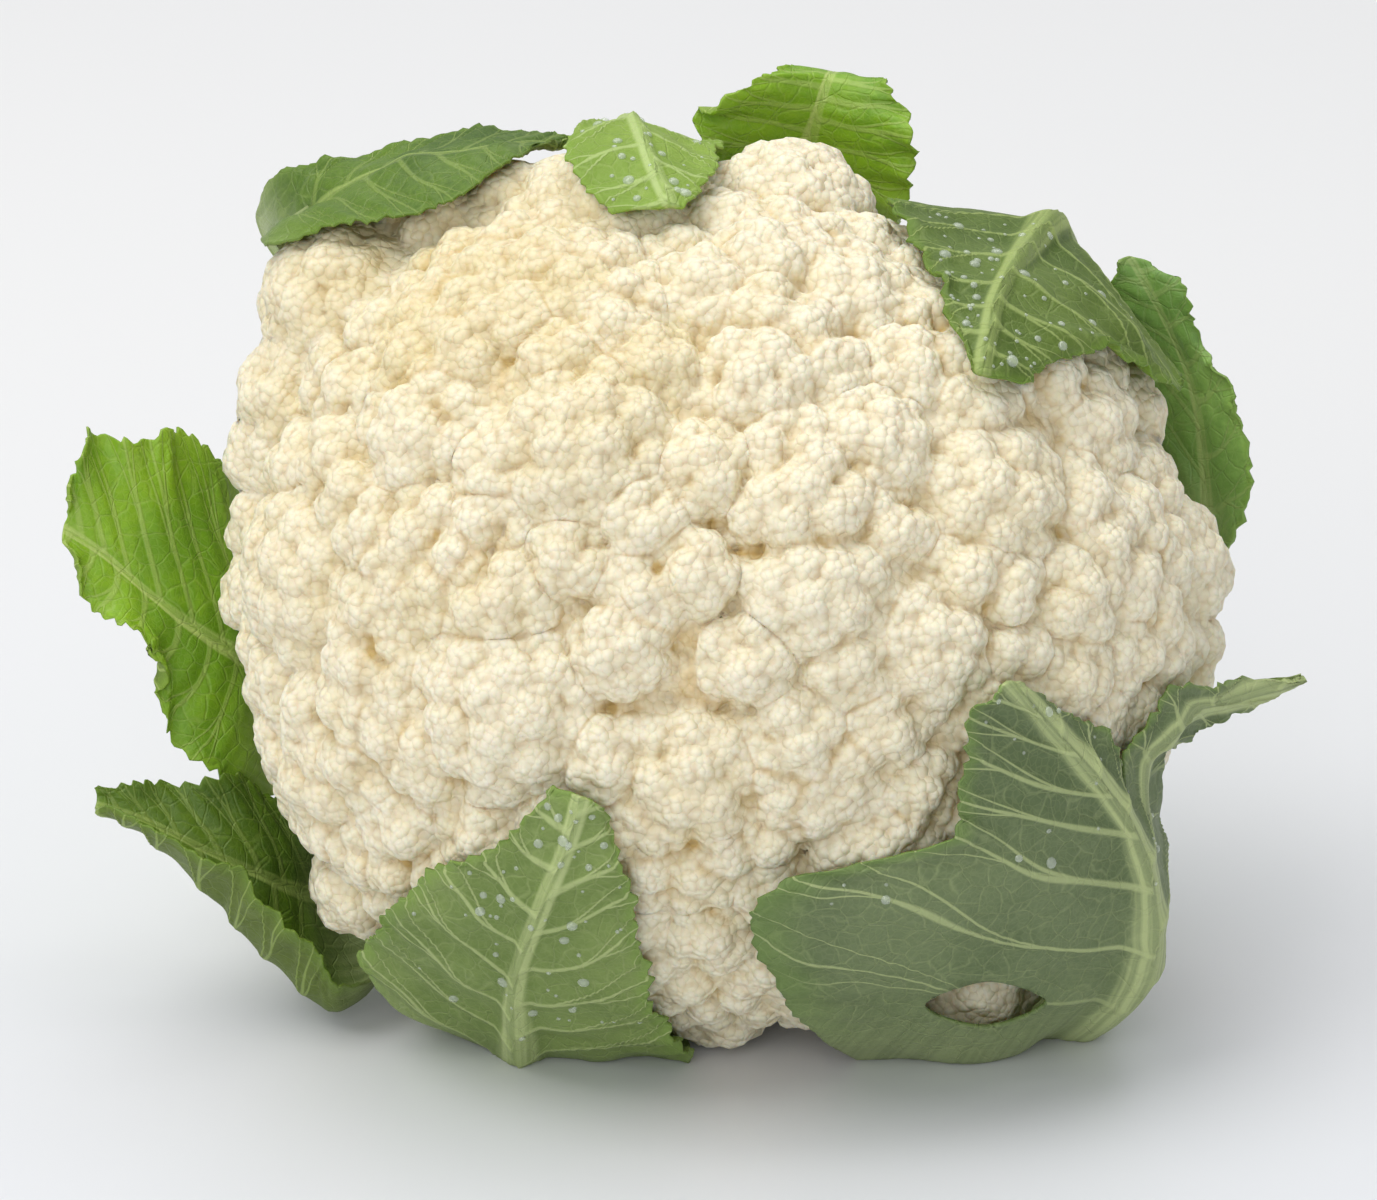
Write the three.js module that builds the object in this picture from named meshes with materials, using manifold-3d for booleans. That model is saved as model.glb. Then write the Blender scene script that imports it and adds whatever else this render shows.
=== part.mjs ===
// A head of cauliflower laid on its side, as it rests on a table: the curd looks forward and up,
// the cut stem points back, and the leaves that were left on it wrap round the curd.
// Millimetres, +Z up, the table at Z = 0, the middle of the footprint at X = Y = 0.
import * as THREE from "three";
import { ConvexHull } from "three/addons/math/ConvexHull.js";
import { mergeVertices } from "three/addons/utils/BufferGeometryUtils.js";
import Module from "manifold-3d";

const wasm = await Module();
wasm.setup();

// Driving dimensions of the head.
// The head's own frame has x to the right, y up the face and z out of the face towards the front.
const curdWidth = 180;
const curdHeight = 160;
const curdFront = 63; // from the widest ring forward to the crown
const curdBack = 45; // from the widest ring back to where the branches meet the stem
const cornerPower = 2.3; // 2 is an oval face, more is squarer
const coreInset = 7; // how far the core between the main florets lies in
const flats = [
  { turn: 58, depth: 0.09, spread: 22 }, // under the upper right leaf, in degrees round the head
  { turn: 20, depth: 0.05, spread: 10 }, // behind the right leaf
  { turn: -38, depth: 0.06, spread: 22 }, // under the front right leaf
  { turn: -19, depth: 0.035, spread: 8 }, // beside that leaf's lobe
  { turn: 101, depth: 0.055, spread: 11 }, // under the small top leaf
];
const floretBulge = 1.3; // radius of a main floret's ball to the radius that shows
const floretStep = 0.3; // how much higher a floret stands for each millimetre of radius over 9
const fill = { tries: 900, bare: 4.5, radius: 12, sunk: 1.6 }; // small florets in the gaps
const knobSpacing = 11; // between neighbouring knobs of a floret
const knobRise = 2.4; // how far a knob stands out of its floret
const creaseSoftness = 0.9; // how gently two main florets meet
const lean = 20; // degrees that the face looks up above level
const readingDistance = 900; // what is nearer looks larger, from this far in front
const seat = new THREE.Vector3(8, -14, 77.5); // the head's centre in the part's frame

const stemRadius = 23;
const stemDroop = 8; // degrees that the stem points down from straight back
const stemEnd = 98; // from the head's centre to the cut
const leafClearance = 3; // between the curd's knobs and a leaf that lies on them
const bladeThickness = 0.9;
const gap = 0.35; // between pieces that touch
const goldenAngle = Math.PI * (3 - Math.sqrt(5));

const colours = {
  curd: { color: 0xf1e9d2, roughness: 0.75, metalness: 0 },
  stem: { color: 0xdfe3bd, roughness: 0.6, metalness: 0 },
  bright: { color: 0x5f9a36, roughness: 0.5, metalness: 0 },
  dark: { color: 0x3d6b2f, roughness: 0.5, metalness: 0 },
  grey: { color: 0x6d8a5e, roughness: 0.55, metalness: 0 },
  pale: { color: 0x9fc05a, roughness: 0.5, metalness: 0 },
};

// Main florets of the face: x, y and radius as seen from the front, top row first.
const florets = [
  [-53, 68, 9], [-40, 68, 10], [-29, 72, 8], [-8, 67, 9], [2, 71, 9], [12, 70, 13], [25, 64, 9], [37, 58, 9],
  [-69, 53, 13], [-55, 51, 11], [-37, 46, 10], [-21, 59, 20], [-4, 53, 11], [7, 57, 11], [22, 51, 14],
  [37, 50, 10], [49, 54, 9], [58, 47, 10],
  [-76, 36, 11], [-63, 35, 10], [-50, 27, 14], [-14, 41, 9], [6, 38, 11], [34, 41, 10], [45, 34, 9],
  [53, 40, 9], [62, 30, 13], [73, 35, 9],
  [-82, 26, 8], [-24, 24, 17], [12, 27, 9], [27, 27, 11], [-4, 23, 9], [46, 17, 15], [63, 16, 10],
  [75, 19, 9],
  [-83, 13, 7], [-64, 4, 19], [-28, 7, 8], [-15, 14, 8], [14, 16, 14], [-6, 4, 8],
  [-83, 1, 8], [-39, 0, 12], [15, 1, 14], [42, 3, 9], [59, 0, 11], [78, 5, 12],
  [-58, -12, 9], [-36, -18, 18], [-19, -9, 9], [4, -11, 9], [22, -12, 9], [36, -9, 13], [59, -13, 11],
  [70, -9, 9], [78, -9, 11],
  [-72, -20, 8], [-50, -26, 11], [-21, -28, 9], [12, -24, 10], [28, -24, 9], [47, -19, 10], [72, -24, 12],
  [-67, -29, 12], [-55, -39, 10], [-41, -41, 10], [-29, -38, 9], [-6, -30, 14], [35, -35, 9], [50, -31, 10],
  [65, -34, 12],
  [-65, -52, 9], [-54, -54, 10], [-40, -55, 11], [-28, -53, 9], [-15, -47, 9], [24, -42, 15], [8, -49, 9],
  [42, -50, 11], [57, -47, 12],
  [-49, -64, 9], [-36, -68, 9], [-22, -69, 10], [-4, -55, 11], [-1, -70, 10], [17, -66, 11], [33, -67, 11],
  [45, -68, 12.5], [58, -58, 11],
];

const vec = (x, y, z) => new THREE.Vector3(x, y, z);

const head = new THREE.Group();
head.position.copy(seat);
head.rotation.x = THREE.MathUtils.degToRad(90 - lean);
const upInHead = vec(0, 0, 1).applyQuaternion(head.quaternion.clone().invert());

// Presses a point of the head up to a height over the table where it would lie lower.
function abovePlane(p, height) {
  const short = height - (seat.z + p.dot(upInHead));
  return short > 0 ? p.clone().addScaledVector(upInHead, short) : p;
}

// The same pseudo-random numbers on every run.
function seeded(seed) {
  let state = seed;
  return () => {
    state = (state * 16807) % 2147483647;
    return state / 2147483647;
  };
}

// A point given by where it appears from the front, and by its true depth.
function seen(x, y, z) {
  const nearer = 1 - z / readingDistance;
  return vec(x * nearer, y * nearer, z);
}

// The head's size towards one side, less than 1 where a leaf has kept the curd flatter.
function flattened(x, y) {
  const turn = THREE.MathUtils.radToDeg(Math.atan2(y, x));
  let share = 1;
  for (const flat of flats) share -= flat.depth * Math.exp(-(((turn - flat.turn) / flat.spread) ** 2));
  return share;
}

// How far a rounded-square dome reaches along a direction from the head's centre.
function domeReach(d, inset) {
  const share = flattened(d.x, d.y);
  const a = (share * curdWidth) / 2 - inset;
  const b = (share * curdHeight) / 2 - inset;
  const c = d.z > 0 ? curdFront - inset : curdBack;
  const ring = (Math.abs(d.x) / a) ** cornerPower + (Math.abs(d.y) / b) ** cornerPower;
  return 1 / Math.sqrt(ring ** (2 / cornerPower) + (d.z / c) ** 2);
}

// The depth of the face at a place seen from the front, on a dome set in by some distance.
function faceDepth(x, y, inset) {
  const share = flattened(x, y);
  const a = (share * curdWidth) / 2 - inset;
  const b = (share * curdHeight) / 2 - inset;
  const ring = (Math.abs(x) / a) ** cornerPower + (Math.abs(y) / b) ** cornerPower;
  return (curdFront - inset) * Math.sqrt(Math.max(0, 1 - ring ** (2 / cornerPower)));
}

// The far crossing of a ray from the head's centre with a ball, or 0 where it misses.
function ballReach(d, ball, extra = 0) {
  const along = d.dot(ball.centre);
  const under = (ball.radius + extra) ** 2 - ball.centre.lengthSq() + along ** 2;
  return under < 0 ? 0 : along + Math.sqrt(under);
}

// An even spiral of directions all round.
function spiral(count) {
  return Array.from({ length: count }, (_, i) => {
    const z = 1 - (2 * i + 1) / count;
    const ring = Math.sqrt(1 - z * z);
    return vec(Math.cos(i * goldenAngle) * ring, Math.sin(i * goldenAngle) * ring, z);
  });
}

// Main florets: the face's own, a ring of smaller ones round the sides and back, and more where
// these leave the curd bare.
function mainFlorets() {
  const balls = florets.map(([x, y, shown]) => {
    const radius = shown * floretBulge;
    const share = 0.98 * flattened(x, y);
    const depth = faceDepth(x * share, y * share, radius) + floretStep * (shown - 9);
    return { centre: seen(x * share, y * share, depth), radius };
  });
  const random = seeded(11);
  for (const ring of [{ z: -10, inset: 13, count: 26 }, { z: -25, inset: 20, count: 22 }]) {
    for (let i = 0; i < ring.count; i++) {
      const angle = ((i + 0.5 * random()) / ring.count) * Math.PI * 2;
      const flat = vec(Math.cos(angle), Math.sin(angle), 0);
      const radius = 9 + 3 * random();
      const reach = domeReach(flat, ring.inset);
      balls.push({ centre: flat.multiplyScalar(reach).setZ(ring.z - 3 * random()), radius });
    }
  }
  for (const d of spiral(fill.tries).filter(({ z }) => z > -0.3)) {
    const dome = domeReach(d, 0);
    if (balls.some((ball) => ballReach(d, ball) >= dome - fill.bare)) continue;
    balls.push({ centre: d.clone().multiplyScalar(dome - fill.radius - fill.sunk), radius: fill.radius });
  }
  return balls;
}

// The stalks that carry the florets, as low ridges fanning from the stem over the back.
function backRelief(d) {
  const turn = Math.atan2(d.y, d.x);
  return 2 * Math.abs(Math.sin(turn * 5.5 + 2 * Math.sin(turn))) * (1 - knobShare(d));
}

// 1 where the surface is florets, 0 on the smooth back.
function knobShare(d) {
  return THREE.MathUtils.smoothstep(d.z, -0.46, -0.34);
}

const mains = mainFlorets();

// How far the curd reaches along a direction, without its knobs: main florets on a core.
function curdBase(d) {
  const core = domeReach(d, coreInset);
  let sum = 1;
  for (const ball of mains) sum += Math.exp((ballReach(d, ball, -knobRise) - core) / creaseSoftness);
  return core + creaseSoftness * Math.log(sum) + backRelief(d);
}

// How far the curd reaches with the tops of its knobs.
function curdReach(d) {
  return curdBase(d) + knobRise * knobShare(d);
}

// The tops of the knobs: a sunflower spiral over every main floret where it shows, then any
// place that is still bare. The smooth back gets wider cells of its own.
function knobTops() {
  const tops = [];
  const add = (d, spacing) => {
    const point = d.clone().multiplyScalar(curdBase(d));
    if (tops.some((top) => top.point.distanceTo(point) < spacing)) return;
    tops.push({ d, point, share: knobShare(d) });
  };
  mains.forEach((ball, index) => {
    const axis = ball.centre.clone().setZ(ball.centre.z + 25).normalize();
    const side = vec(0, 1, 0.01).cross(axis).normalize();
    const up = axis.clone().cross(side);
    for (let polar = 0, k = 0; polar < 1.9; k++) {
      polar = (0.6 * knobSpacing * Math.sqrt(k)) / ball.radius;
      const turn = k * goldenAngle + index;
      const out = axis.clone().multiplyScalar(Math.cos(polar));
      out.addScaledVector(side, Math.sin(polar) * Math.cos(turn));
      out.addScaledVector(up, Math.sin(polar) * Math.sin(turn));
      const top = ball.centre.clone().addScaledVector(out, ball.radius - knobRise);
      const d = top.clone().normalize();
      if (knobShare(d) > 0.3 && curdBase(d) < top.length() + 2) add(d, 0.8 * knobSpacing);
    }
  });
  for (const d of spiral(3000)) if (knobShare(d) > 0.3) add(d, 0.86 * knobSpacing);
  for (const d of spiral(400)) if (knobShare(d) <= 0.3) add(d, 1.4 * knobSpacing);
  return tops;
}

// The net of the curd's surface. Each knob's cell has its top, a ring round it and its corners,
// where it meets its neighbours; a cell of the smooth back has no ring.
function curdNet() {
  const tops = knobTops();
  const hull = new ConvexHull().setFromPoints(tops.map((top) => top.d));
  const points = tops.map(({ d, share }) => ({ d, lift: knobRise * share }));
  const cells = new Map(tops.map((top) => [top.d, []]));
  for (const face of hull.faces) {
    const d = face.normal.clone();
    const number = points.push({ d, lift: -0.5 * knobShare(d) }) - 1;
    let edge = face.edge;
    do {
      cells.get(edge.head().point).push(number);
      edge = edge.next;
    } while (edge !== face.edge);
  }
  const triangles = [];
  tops.forEach(({ d, share }, middle) => {
    const side = vec(0, 1, 0.01).cross(d).normalize();
    const up = d.clone().cross(side);
    const angle = (n) => Math.atan2(points[n].d.dot(up), points[n].d.dot(side));
    const corners = cells.get(d).sort((a, b) => angle(a) - angle(b));
    const knob = share > 0.3;
    const ring = corners.map((n) => {
      if (!knob) return n;
      const between = d.clone().lerp(points[n].d, 0.6).normalize();
      return points.push({ d: between, lift: 0.72 * knobRise * share }) - 1;
    });
    corners.forEach((corner, i) => {
      const next = (i + 1) % corners.length;
      triangles.push(middle, ring[i], ring[next]);
      if (knob) triangles.push(ring[i], corner, corners[next], ring[i], corners[next], ring[next]);
    });
  });
  return { points, triangles };
}

function solidOf(positions, triangles) {
  const geometry = new THREE.BufferGeometry();
  geometry.setAttribute("position", new THREE.Float32BufferAttribute(positions, 3));
  geometry.setIndex(triangles);
  return solidFrom(geometry);
}

function solidFrom(source) {
  const geometry = source.clone();
  geometry.deleteAttribute("normal");
  geometry.deleteAttribute("uv");
  const merged = mergeVertices(geometry, 1e-4);
  return new wasm.Manifold(
    new wasm.Mesh({
      numProp: 3,
      vertProperties: new Float32Array(merged.attributes.position.array),
      triVerts: new Uint32Array(merged.index.array),
    }),
  );
}

// The curd as one star-shaped solid, grown by some room when it is used as a cutter.
function curdSolid(net, room = 0) {
  return solidOf(
    net.points.flatMap(({ d, lift }) => {
      const p = d.clone().multiplyScalar(curdBase(d) + lift + room);
      return abovePlane(p, bladeThickness + 0.9).toArray();
    }),
    net.triangles,
  );
}

const droop = THREE.MathUtils.degToRad(stemDroop);
const stemAxis = vec(0, -Math.sin(droop), -Math.cos(droop));

// The stem: a stout cylinder with old leaf scars as shallow steps and a cut, slightly bevelled end.
function stemSolid(room = 0) {
  const r = stemRadius + room;
  const outline = [
    [0, 30], [r + 6, 30], [r + 4, 44], [r, 54], [r - 1, 60], [r + 0.5, 63], [r - 1.2, 71],
    [r + 0.3, 74], [r - 1.5, 83], [r - 0.2, 86], [r - 2, stemEnd - 2], [r - 4, stemEnd], [0, stemEnd],
  ];
  const geometry = new THREE.LatheGeometry(outline.map(([x, y]) => new THREE.Vector2(x, y)), 22);
  geometry.applyQuaternion(new THREE.Quaternion().setFromUnitVectors(vec(0, 1, 0), stemAxis));
  return solidFrom(geometry);
}

// Leaves. Every leaf is a net of points: rows from the base to the tip, each row from the edge on
// the counter-clockwise side across the midrib to the other edge, as seen from the front.
// Its first two rows, the stalk on the stem, come from its angle round the stem and its whorl.
const whorls = {
  inner: { along: 60, clear: 2.5, stalk: 7 },
  outer: { along: 78, clear: 13, stalk: 8 },
};

const leaves = [
  {
    name: "leaf_top_back", look: "bright", angle: 80, whorl: "outer",
    rib: 3.2, waves: 4, wave: 1.4, teeth: 1.5,
    rows: [
      [[-4, 68, -36], [12, 70, -42], [30, 64, -38]],
      [[-5, 81, -24], [15, 81, -30], [33, 73, -25]],
      [[-3, 88, -18], [17, 88, -24], [34, 83, -20]],
      [[7, 94, -18], [19, 94, -24], [31, 90, -20]],
      [[12, 95, -28], [20, 95, -31], [27, 93, -30]],
    ],
  },
  {
    name: "leaf_top_small", look: "pale", angle: 104, whorl: "inner",
    rib: 2.2, waves: 3, wave: 0.8, teeth: 1,
    rows: [
      [[-24, 71, -20], [-17, 77, -24], [-4, 77, -24]],
      [[-25, 78, 5], [-17, 83, -4], [-1, 80, -6]],
      [[-27, 74, 20], [-14, 77, 20], [-2, 77, 18]],
      [[-20, 69, 30], [-10, 69.5, 31], [-7, 70, 30]],
    ],
  },
  {
    name: "leaf_top_left", look: "dark", angle: 140, whorl: "outer",
    rib: 2.6, waves: 3, wave: 1, teeth: 0.8,
    rows: [
      [[-80, 60, -34], [-70, 58, -36], [-54, 76, -34]],
      [[-83, 73, -20], [-78, 62, -16], [-75, 58, 4]],
      [[-77, 78, -15], [-71, 72, -4], [-68, 64, 14]],
      [[-60, 80, -10], [-58, 77, 2], [-57, 69, 18]],
      [[-45, 85, -8], [-45, 80, 4], [-46, 74, 17]],
      [[-33, 84, -12], [-34, 82, -5], [-37, 76, 8]],
      [[-28, 82, -13], [-28, 82, -12], [-29, 81, -9]],
    ],
  },
  {
    name: "leaf_back_left", look: "dark", angle: 166, whorl: "inner",
    rib: 2.6, waves: 3, wave: 1, teeth: 1,
    rows: [
      [[-68, 14, -37], [-67, 27, -38], [-61, 42, -37]],
      [[-76, 14, -31], [-74, 29, -31], [-66, 46, -30]],
      [[-81, 20, -26], [-79, 30, -25], [-74, 42, -25]],
    ],
  },
  {
    name: "leaf_left", look: "bright", angle: 192, whorl: "outer",
    rib: 3.4, waves: 4, wave: 1.6, teeth: 1.5,
    rows: [
      [[-76, -34, -32], [-76, -15, -36], [-80, 10, -36]],
      [[-87, -35, -20], [-86, -11, -20], [-90, 24, -20]],
      [[-98, -26, -12], [-96, -5, -12], [-99, 30, -10]],
      [[-103, -10, -6], [-105, 2, -7], [-107, 28, -4]],
      [[-113, -3, -3], [-112, 8, -4], [-116, 30, 1]],
      [[-118, 8, -2], [-119, 12.5, -2], [-117, 17, -1]],
    ],
  },
  {
    name: "leaf_lower_left", look: "dark", angle: 222, whorl: "inner",
    rib: 3, waves: 4, wave: 1, teeth: 1.2,
    rows: [
      [[-54, -60, -27], [-58, -60, -30], [-66, -52, -34], [-67, -44, -34], [-68, -34, -36]],
      [[-68, -70, -2], [-70, -73, -14], [-75, -53, -22], [-76, -45, -24], [-78, -37, -26]],
      [[-76, -61, 4], [-81, -65, -8], [-83, -50, -14], [-84, -41, -17], [-86, -32, -18]],
      [[-88, -50, 4], [-92, -54, -6], [-94, -45, -10], [-95, -39, -12], [-96, -33, -12]],
      [[-101, -42, 2], [-103, -43, -4], [-104, -40, -8], [-105, -37, -9], [-106, -34, -9]],
      [[-112, -38, -3], [-113, -38, -5], [-113, -37, -6], [-113, -36, -7], [-113, -35, -7]],
    ],
  },
  {
    name: "leaf_front_left", look: "grey", angle: 252, whorl: "outer",
    rib: 2.4, waves: 5, wave: 0.7, teeth: 1.2,
    rows: [
      [[-12, -76, -28], [-32, -76, -32], [-46, -70, -30]],
      [[-6, -79, -4], [-36, -82, -8], [-58, -70, -2]],
      [[-8, -75, 16], [-36, -75, 12], [-65, -64, 10]],
      [[-12, -66, 30], [-35, -64, 28], [-58, -54, 28]],
      [[-15, -55, 42], [-32, -54, 42], [-48, -45, 38]],
      [[-17, -45, 50], [-28, -44, 50], [-37, -40, 46]],
      [[-21, -36, 54], [-25, -34, 55], [-31, -33, 53]],
    ],
  },
  {
    name: "leaf_back_under", look: "grey", angle: 286, whorl: "inner",
    rib: 2.6, waves: 3, wave: 0.8, teeth: 1,
    rows: [
      [[26, -60, -34], [12, -65, -38], [-6, -62, -36]],
      [[26, -70, -26], [12, -73, -27], [-6, -72, -26]],
      [[20, -76, -19], [12, -77, -19], [2, -76, -19]],
    ],
  },
  {
    name: "leaf_front_right", look: "grey", angle: 318, whorl: "outer",
    rib: 5, waves: 4, wave: 0.8, teeth: 1.2,
    rows: [
      [[68, -58, -32], [64, -66, -31], [58, -72, -30], [44, -76, -22], [28, -78, -14]],
      [[72, -64, -12], [70, -70, -8], [65, -74.5, -3], [50, -78, 4], [20, -79, 10]],
      [[76, -58, -2], [77, -63, 6], [74, -66.5, 14], [48, -72, 24], [10, -67, 30]],
      [[78, -48, 6], [78.5, -51, 14], [75, -53.5, 24], [46, -55, 44], [5, -53, 51]],
      [[76, -38, 16], [75, -40, 25], [72, -42, 32], [56, -43, 45], [38, -45, 52]],
      [[68, -26, 34], [67.5, -30, 37], [66, -33, 40], [54, -34, 48], [41, -34, 53]],
      [[61, -21, 43], [60, -22.5, 45], [58, -24, 47], [51, -23, 51], [44, -23, 56]],
      [[52, -15, 53], [51, -15, 54], [50, -15, 55], [49, -15.5, 56], [48, -16, 57]],
    ],
    lobe: [
      [[77, -54, 8], [76, -56, 14], [74, -57, 19]],
      [[77, -44, 14], [75, -45, 22], [72, -44, 28]],
      [[76, -34, 16], [74, -33, 25], [70, -31, 31]],
      [[79, -28, 17], [75, -26, 25], [69, -24, 30]],
      [[85, -25, 14], [81, -20, 21], [76, -16, 26]],
      [[91, -21, 10], [90, -18, 13], [88, -15.5, 16]],
      [[103, -15, 6], [104, -14, 7], [103, -13.5, 8]],
    ],
    hole: { x: 45.5, y: -71.5, halfWidth: 11, halfHeight: 4.6, from: 4, to: 50 },
  },
  {
    name: "leaf_back_right", look: "grey", angle: 344, whorl: "inner",
    rib: 2.6, waves: 3, wave: 0.8, teeth: 1,
    rows: [
      [[68, -8, -38], [66, -24, -39], [58, -40, -38]],
      [[74, -8, -33], [72, -26, -33], [64, -42, -33]],
      [[77, -14, -28], [76, -26, -28], [70, -36, -28]],
    ],
  },
  {
    name: "leaf_right", look: "dark", angle: 8, whorl: "outer",
    rib: 2.6, waves: 4, wave: 1.2, teeth: 1.4,
    rows: [
      [[70, 16, -38], [77, 4, -38], [78, -8, -36]],
      [[74, 26, -34], [86, 12, -26], [89, 5, -24]],
      [[73, 36, -32], [86, 26, -24], [94, 17, -16]],
      [[74, 44, -28], [84, 38, -22], [92, 36, -16]],
      [[74, 49, -24], [80, 48, -20], [86, 45, -16]],
      [[70, 55, -20], [76, 56, -18], [83, 56, -16]],
      [[71, 60, -18], [73, 61.5, -18], [78, 60, -18]],
    ],
  },
  {
    name: "leaf_upper_right", look: "bright", angle: 48, whorl: "inner",
    rib: 2.4, waves: 4, wave: 0.9, teeth: 1.3,
    rows: [
      [[38, 64, -24], [57, 57, -26], [70, 45, -24]],
      [[30, 69, -4], [58, 66, -6], [77, 44, -6]],
      [[28, 66, 14], [52, 60, 14], [81, 37, 10]],
      [[33, 58, 28], [47, 53, 32], [72, 42.5, 24]],
      [[37, 50, 38], [45, 46, 41], [60, 42, 36]],
      [[42, 42, 46], [45, 39, 48], [52, 38, 44]],
    ],
  },
];

// The first two rows of a leaf: its stalk leaves the stem and follows the back of the curd.
function stalkRows(leaf, width) {
  const whorl = whorls[leaf.whorl];
  const turn = THREE.MathUtils.degToRad(leaf.angle);
  const out = vec(Math.cos(turn), Math.sin(turn), 0);
  const across = vec(-Math.sin(turn), Math.cos(turn), 0);
  return [
    { along: whorl.along, reach: stemRadius - 3, half: 9 },
    { along: 0, reach: 50, half: 11 },
  ].map(({ along, reach, half }) => {
    const centre = out.clone().multiplyScalar(reach);
    if (along) centre.addScaledVector(stemAxis, along);
    else centre.setZ(-curdBack * Math.sqrt(1 - (reach / 82) ** 2) - whorl.clear - 4);
    return Array.from({ length: width }, (_, i) =>
      centre.clone().addScaledVector(across, half * (1 - (2 * i) / (width - 1))),
    );
  });
}

// A point on the net, by its share of the way from base to tip and from edge to edge.
function netPoint(rails, u, v) {
  const points = rails.map((rail) => rail.getPoint(u));
  return new THREE.CatmullRomCurve3(points, false, "catmullrom", 0.5).getPoint(v);
}

// A leaf blade with its midrib: the net's inner face, and an outer face off it by the thickness.
function bladeSolid(net, leaf, steps, stalk) {
  const width = net[0].length;
  const rails = Array.from({ length: width }, (_, i) =>
    new THREE.CatmullRomCurve3(net.map((row) => row[i]), false, "catmullrom", 0.5),
  );
  const inner = [];
  const outer = [];
  const columns = 9;
  for (let i = 0; i <= steps; i++) {
    const u = i / steps;
    const ribHalf = THREE.MathUtils.lerp(stalk, leaf.rib * 0.5, Math.min(1, u * 1.5)) + 0.6;
    const ribHeight = THREE.MathUtils.lerp(stalk * 0.95, 0.8, Math.min(1, u ** 0.8 * 1.25));
    const halfWidth = netPoint(rails, u, 0).distanceTo(netPoint(rails, u, 1)) / 2;
    const ribShare = THREE.MathUtils.clamp(ribHalf / halfWidth, 0.1, 0.7);
    const blade = THREE.MathUtils.smoothstep(u, 0.3, 0.55);
    for (let j = 0; j < columns; j++) {
      const k = j - 4;
      const column = Math.abs(k);
      const reach = column < 2 ? column * ribShare : ribShare + ((1 - ribShare) * (column - 1)) / 3;
      const v = THREE.MathUtils.clamp(0.5 + 0.5 * Math.sign(k) * reach, 0, 1);
      const p = netPoint(rails, u, v);
      const du = netPoint(rails, Math.min(1, u + 0.01), v).sub(netPoint(rails, Math.max(0, u - 0.01), v));
      const dv = netPoint(rails, u, Math.min(1, v + 0.02)).sub(netPoint(rails, u, Math.max(0, v - 0.02)));
      const normal = du.clone().cross(dv).normalize();
      if (column === 4) {
        const outward = dv.clone().normalize().multiplyScalar(Math.sign(k));
        p.addScaledVector(outward, blade * leaf.teeth * (i % 2 ? 1 : -0.6));
      }
      const ripple = Math.sin(u * leaf.waves * Math.PI * 2 + Math.sign(k)) * (column / 4) ** 2;
      p.addScaledVector(normal, blade * leaf.wave * ripple);
      const direction = p.clone().normalize();
      const room = curdReach(direction) + leafClearance - p.length();
      if (room > 0) p.addScaledVector(direction, room);
      const ridge = column === 0 ? 1 : column === 1 ? 0.45 : 0;
      const q = p.clone().addScaledVector(normal, bladeThickness + ribHeight * ridge);
      inner.push(abovePlane(p, bladeThickness));
      outer.push(abovePlane(q, 0));
    }
  }
  const half = inner.length;
  const positions = [...inner, ...outer].flatMap((p) => p.toArray());
  const triangles = [];
  const quad = (a, b, c, d) => triangles.push(a, b, c, a, c, d);
  for (let i = 0; i < steps; i++) {
    for (let j = 0; j < columns - 1; j++) {
      const a = i * columns + j;
      const b = a + columns;
      quad(half + a, half + b, half + b + 1, half + a + 1);
      triangles.push(a, b + 1, b, a, a + 1, b + 1);
    }
    const left = i * columns;
    const right = left + columns - 1;
    quad(left, left + columns, half + left + columns, half + left);
    quad(right + columns, right, half + right, half + right + columns);
  }
  for (let j = 0; j < columns - 1; j++) {
    const end = steps * columns + j;
    quad(j + 1, j, half + j, half + j + 1);
    quad(end, end + 1, half + end + 1, half + end);
  }
  return solidOf(positions, triangles);
}

function leafSolid(leaf, stemCutter) {
  const rows = leaf.rows.map((row) => row.map(([x, y, z]) => seen(x, y, z)));
  const net = [...stalkRows(leaf, rows[0].length), ...rows];
  let solid = bladeSolid(net, leaf, 2 * net.length + 2, whorls[leaf.whorl].stalk);
  if (leaf.lobe) {
    const lobeNet = leaf.lobe.map((row) => row.map(([x, y, z]) => seen(x, y, z)));
    solid = solid.add(bladeSolid(lobeNet, leaf, 10, 1));
  }
  if (leaf.hole) {
    const { x, y, halfWidth, halfHeight, from, to } = leaf.hole;
    const outline = new THREE.Shape().absellipse(x, y, halfWidth, halfHeight, 0, Math.PI * 2, false);
    const options = { depth: to - from, bevelEnabled: false, curveSegments: 9 };
    const cutter = new THREE.ExtrudeGeometry(outline, options).translate(0, 0, from);
    solid = solid.subtract(solidFrom(cutter));
  }
  return solid.subtract(stemCutter);
}

// Only the largest body of a cut solid is kept: loose scraps are dropped.
function largestBody(solid) {
  const bodies = solid.decompose();
  bodies.sort((a, b) => b.volume() - a.volume());
  return bodies[0];
}

function addPiece(name, solid, look) {
  const mesh = largestBody(solid).getMesh();
  const geometry = new THREE.BufferGeometry();
  geometry.setAttribute("position", new THREE.Float32BufferAttribute(mesh.vertProperties, 3));
  geometry.setIndex(Array.from(mesh.triVerts));
  geometry.computeVertexNormals();
  const piece = new THREE.Mesh(geometry, new THREE.MeshStandardMaterial(colours[look]));
  piece.name = name;
  head.add(piece);
}

const net = curdNet();
const stemCutter = stemSolid(gap);
addPiece("curd", curdSolid(net), "curd");
addPiece("stem", stemSolid().subtract(curdSolid(net, gap)), "stem");
for (const leaf of leaves) addPiece(leaf.name, leafSolid(leaf, stemCutter), leaf.look);

const cauliflower = new THREE.Group();
cauliflower.add(head);

export default cauliflower;
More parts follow.
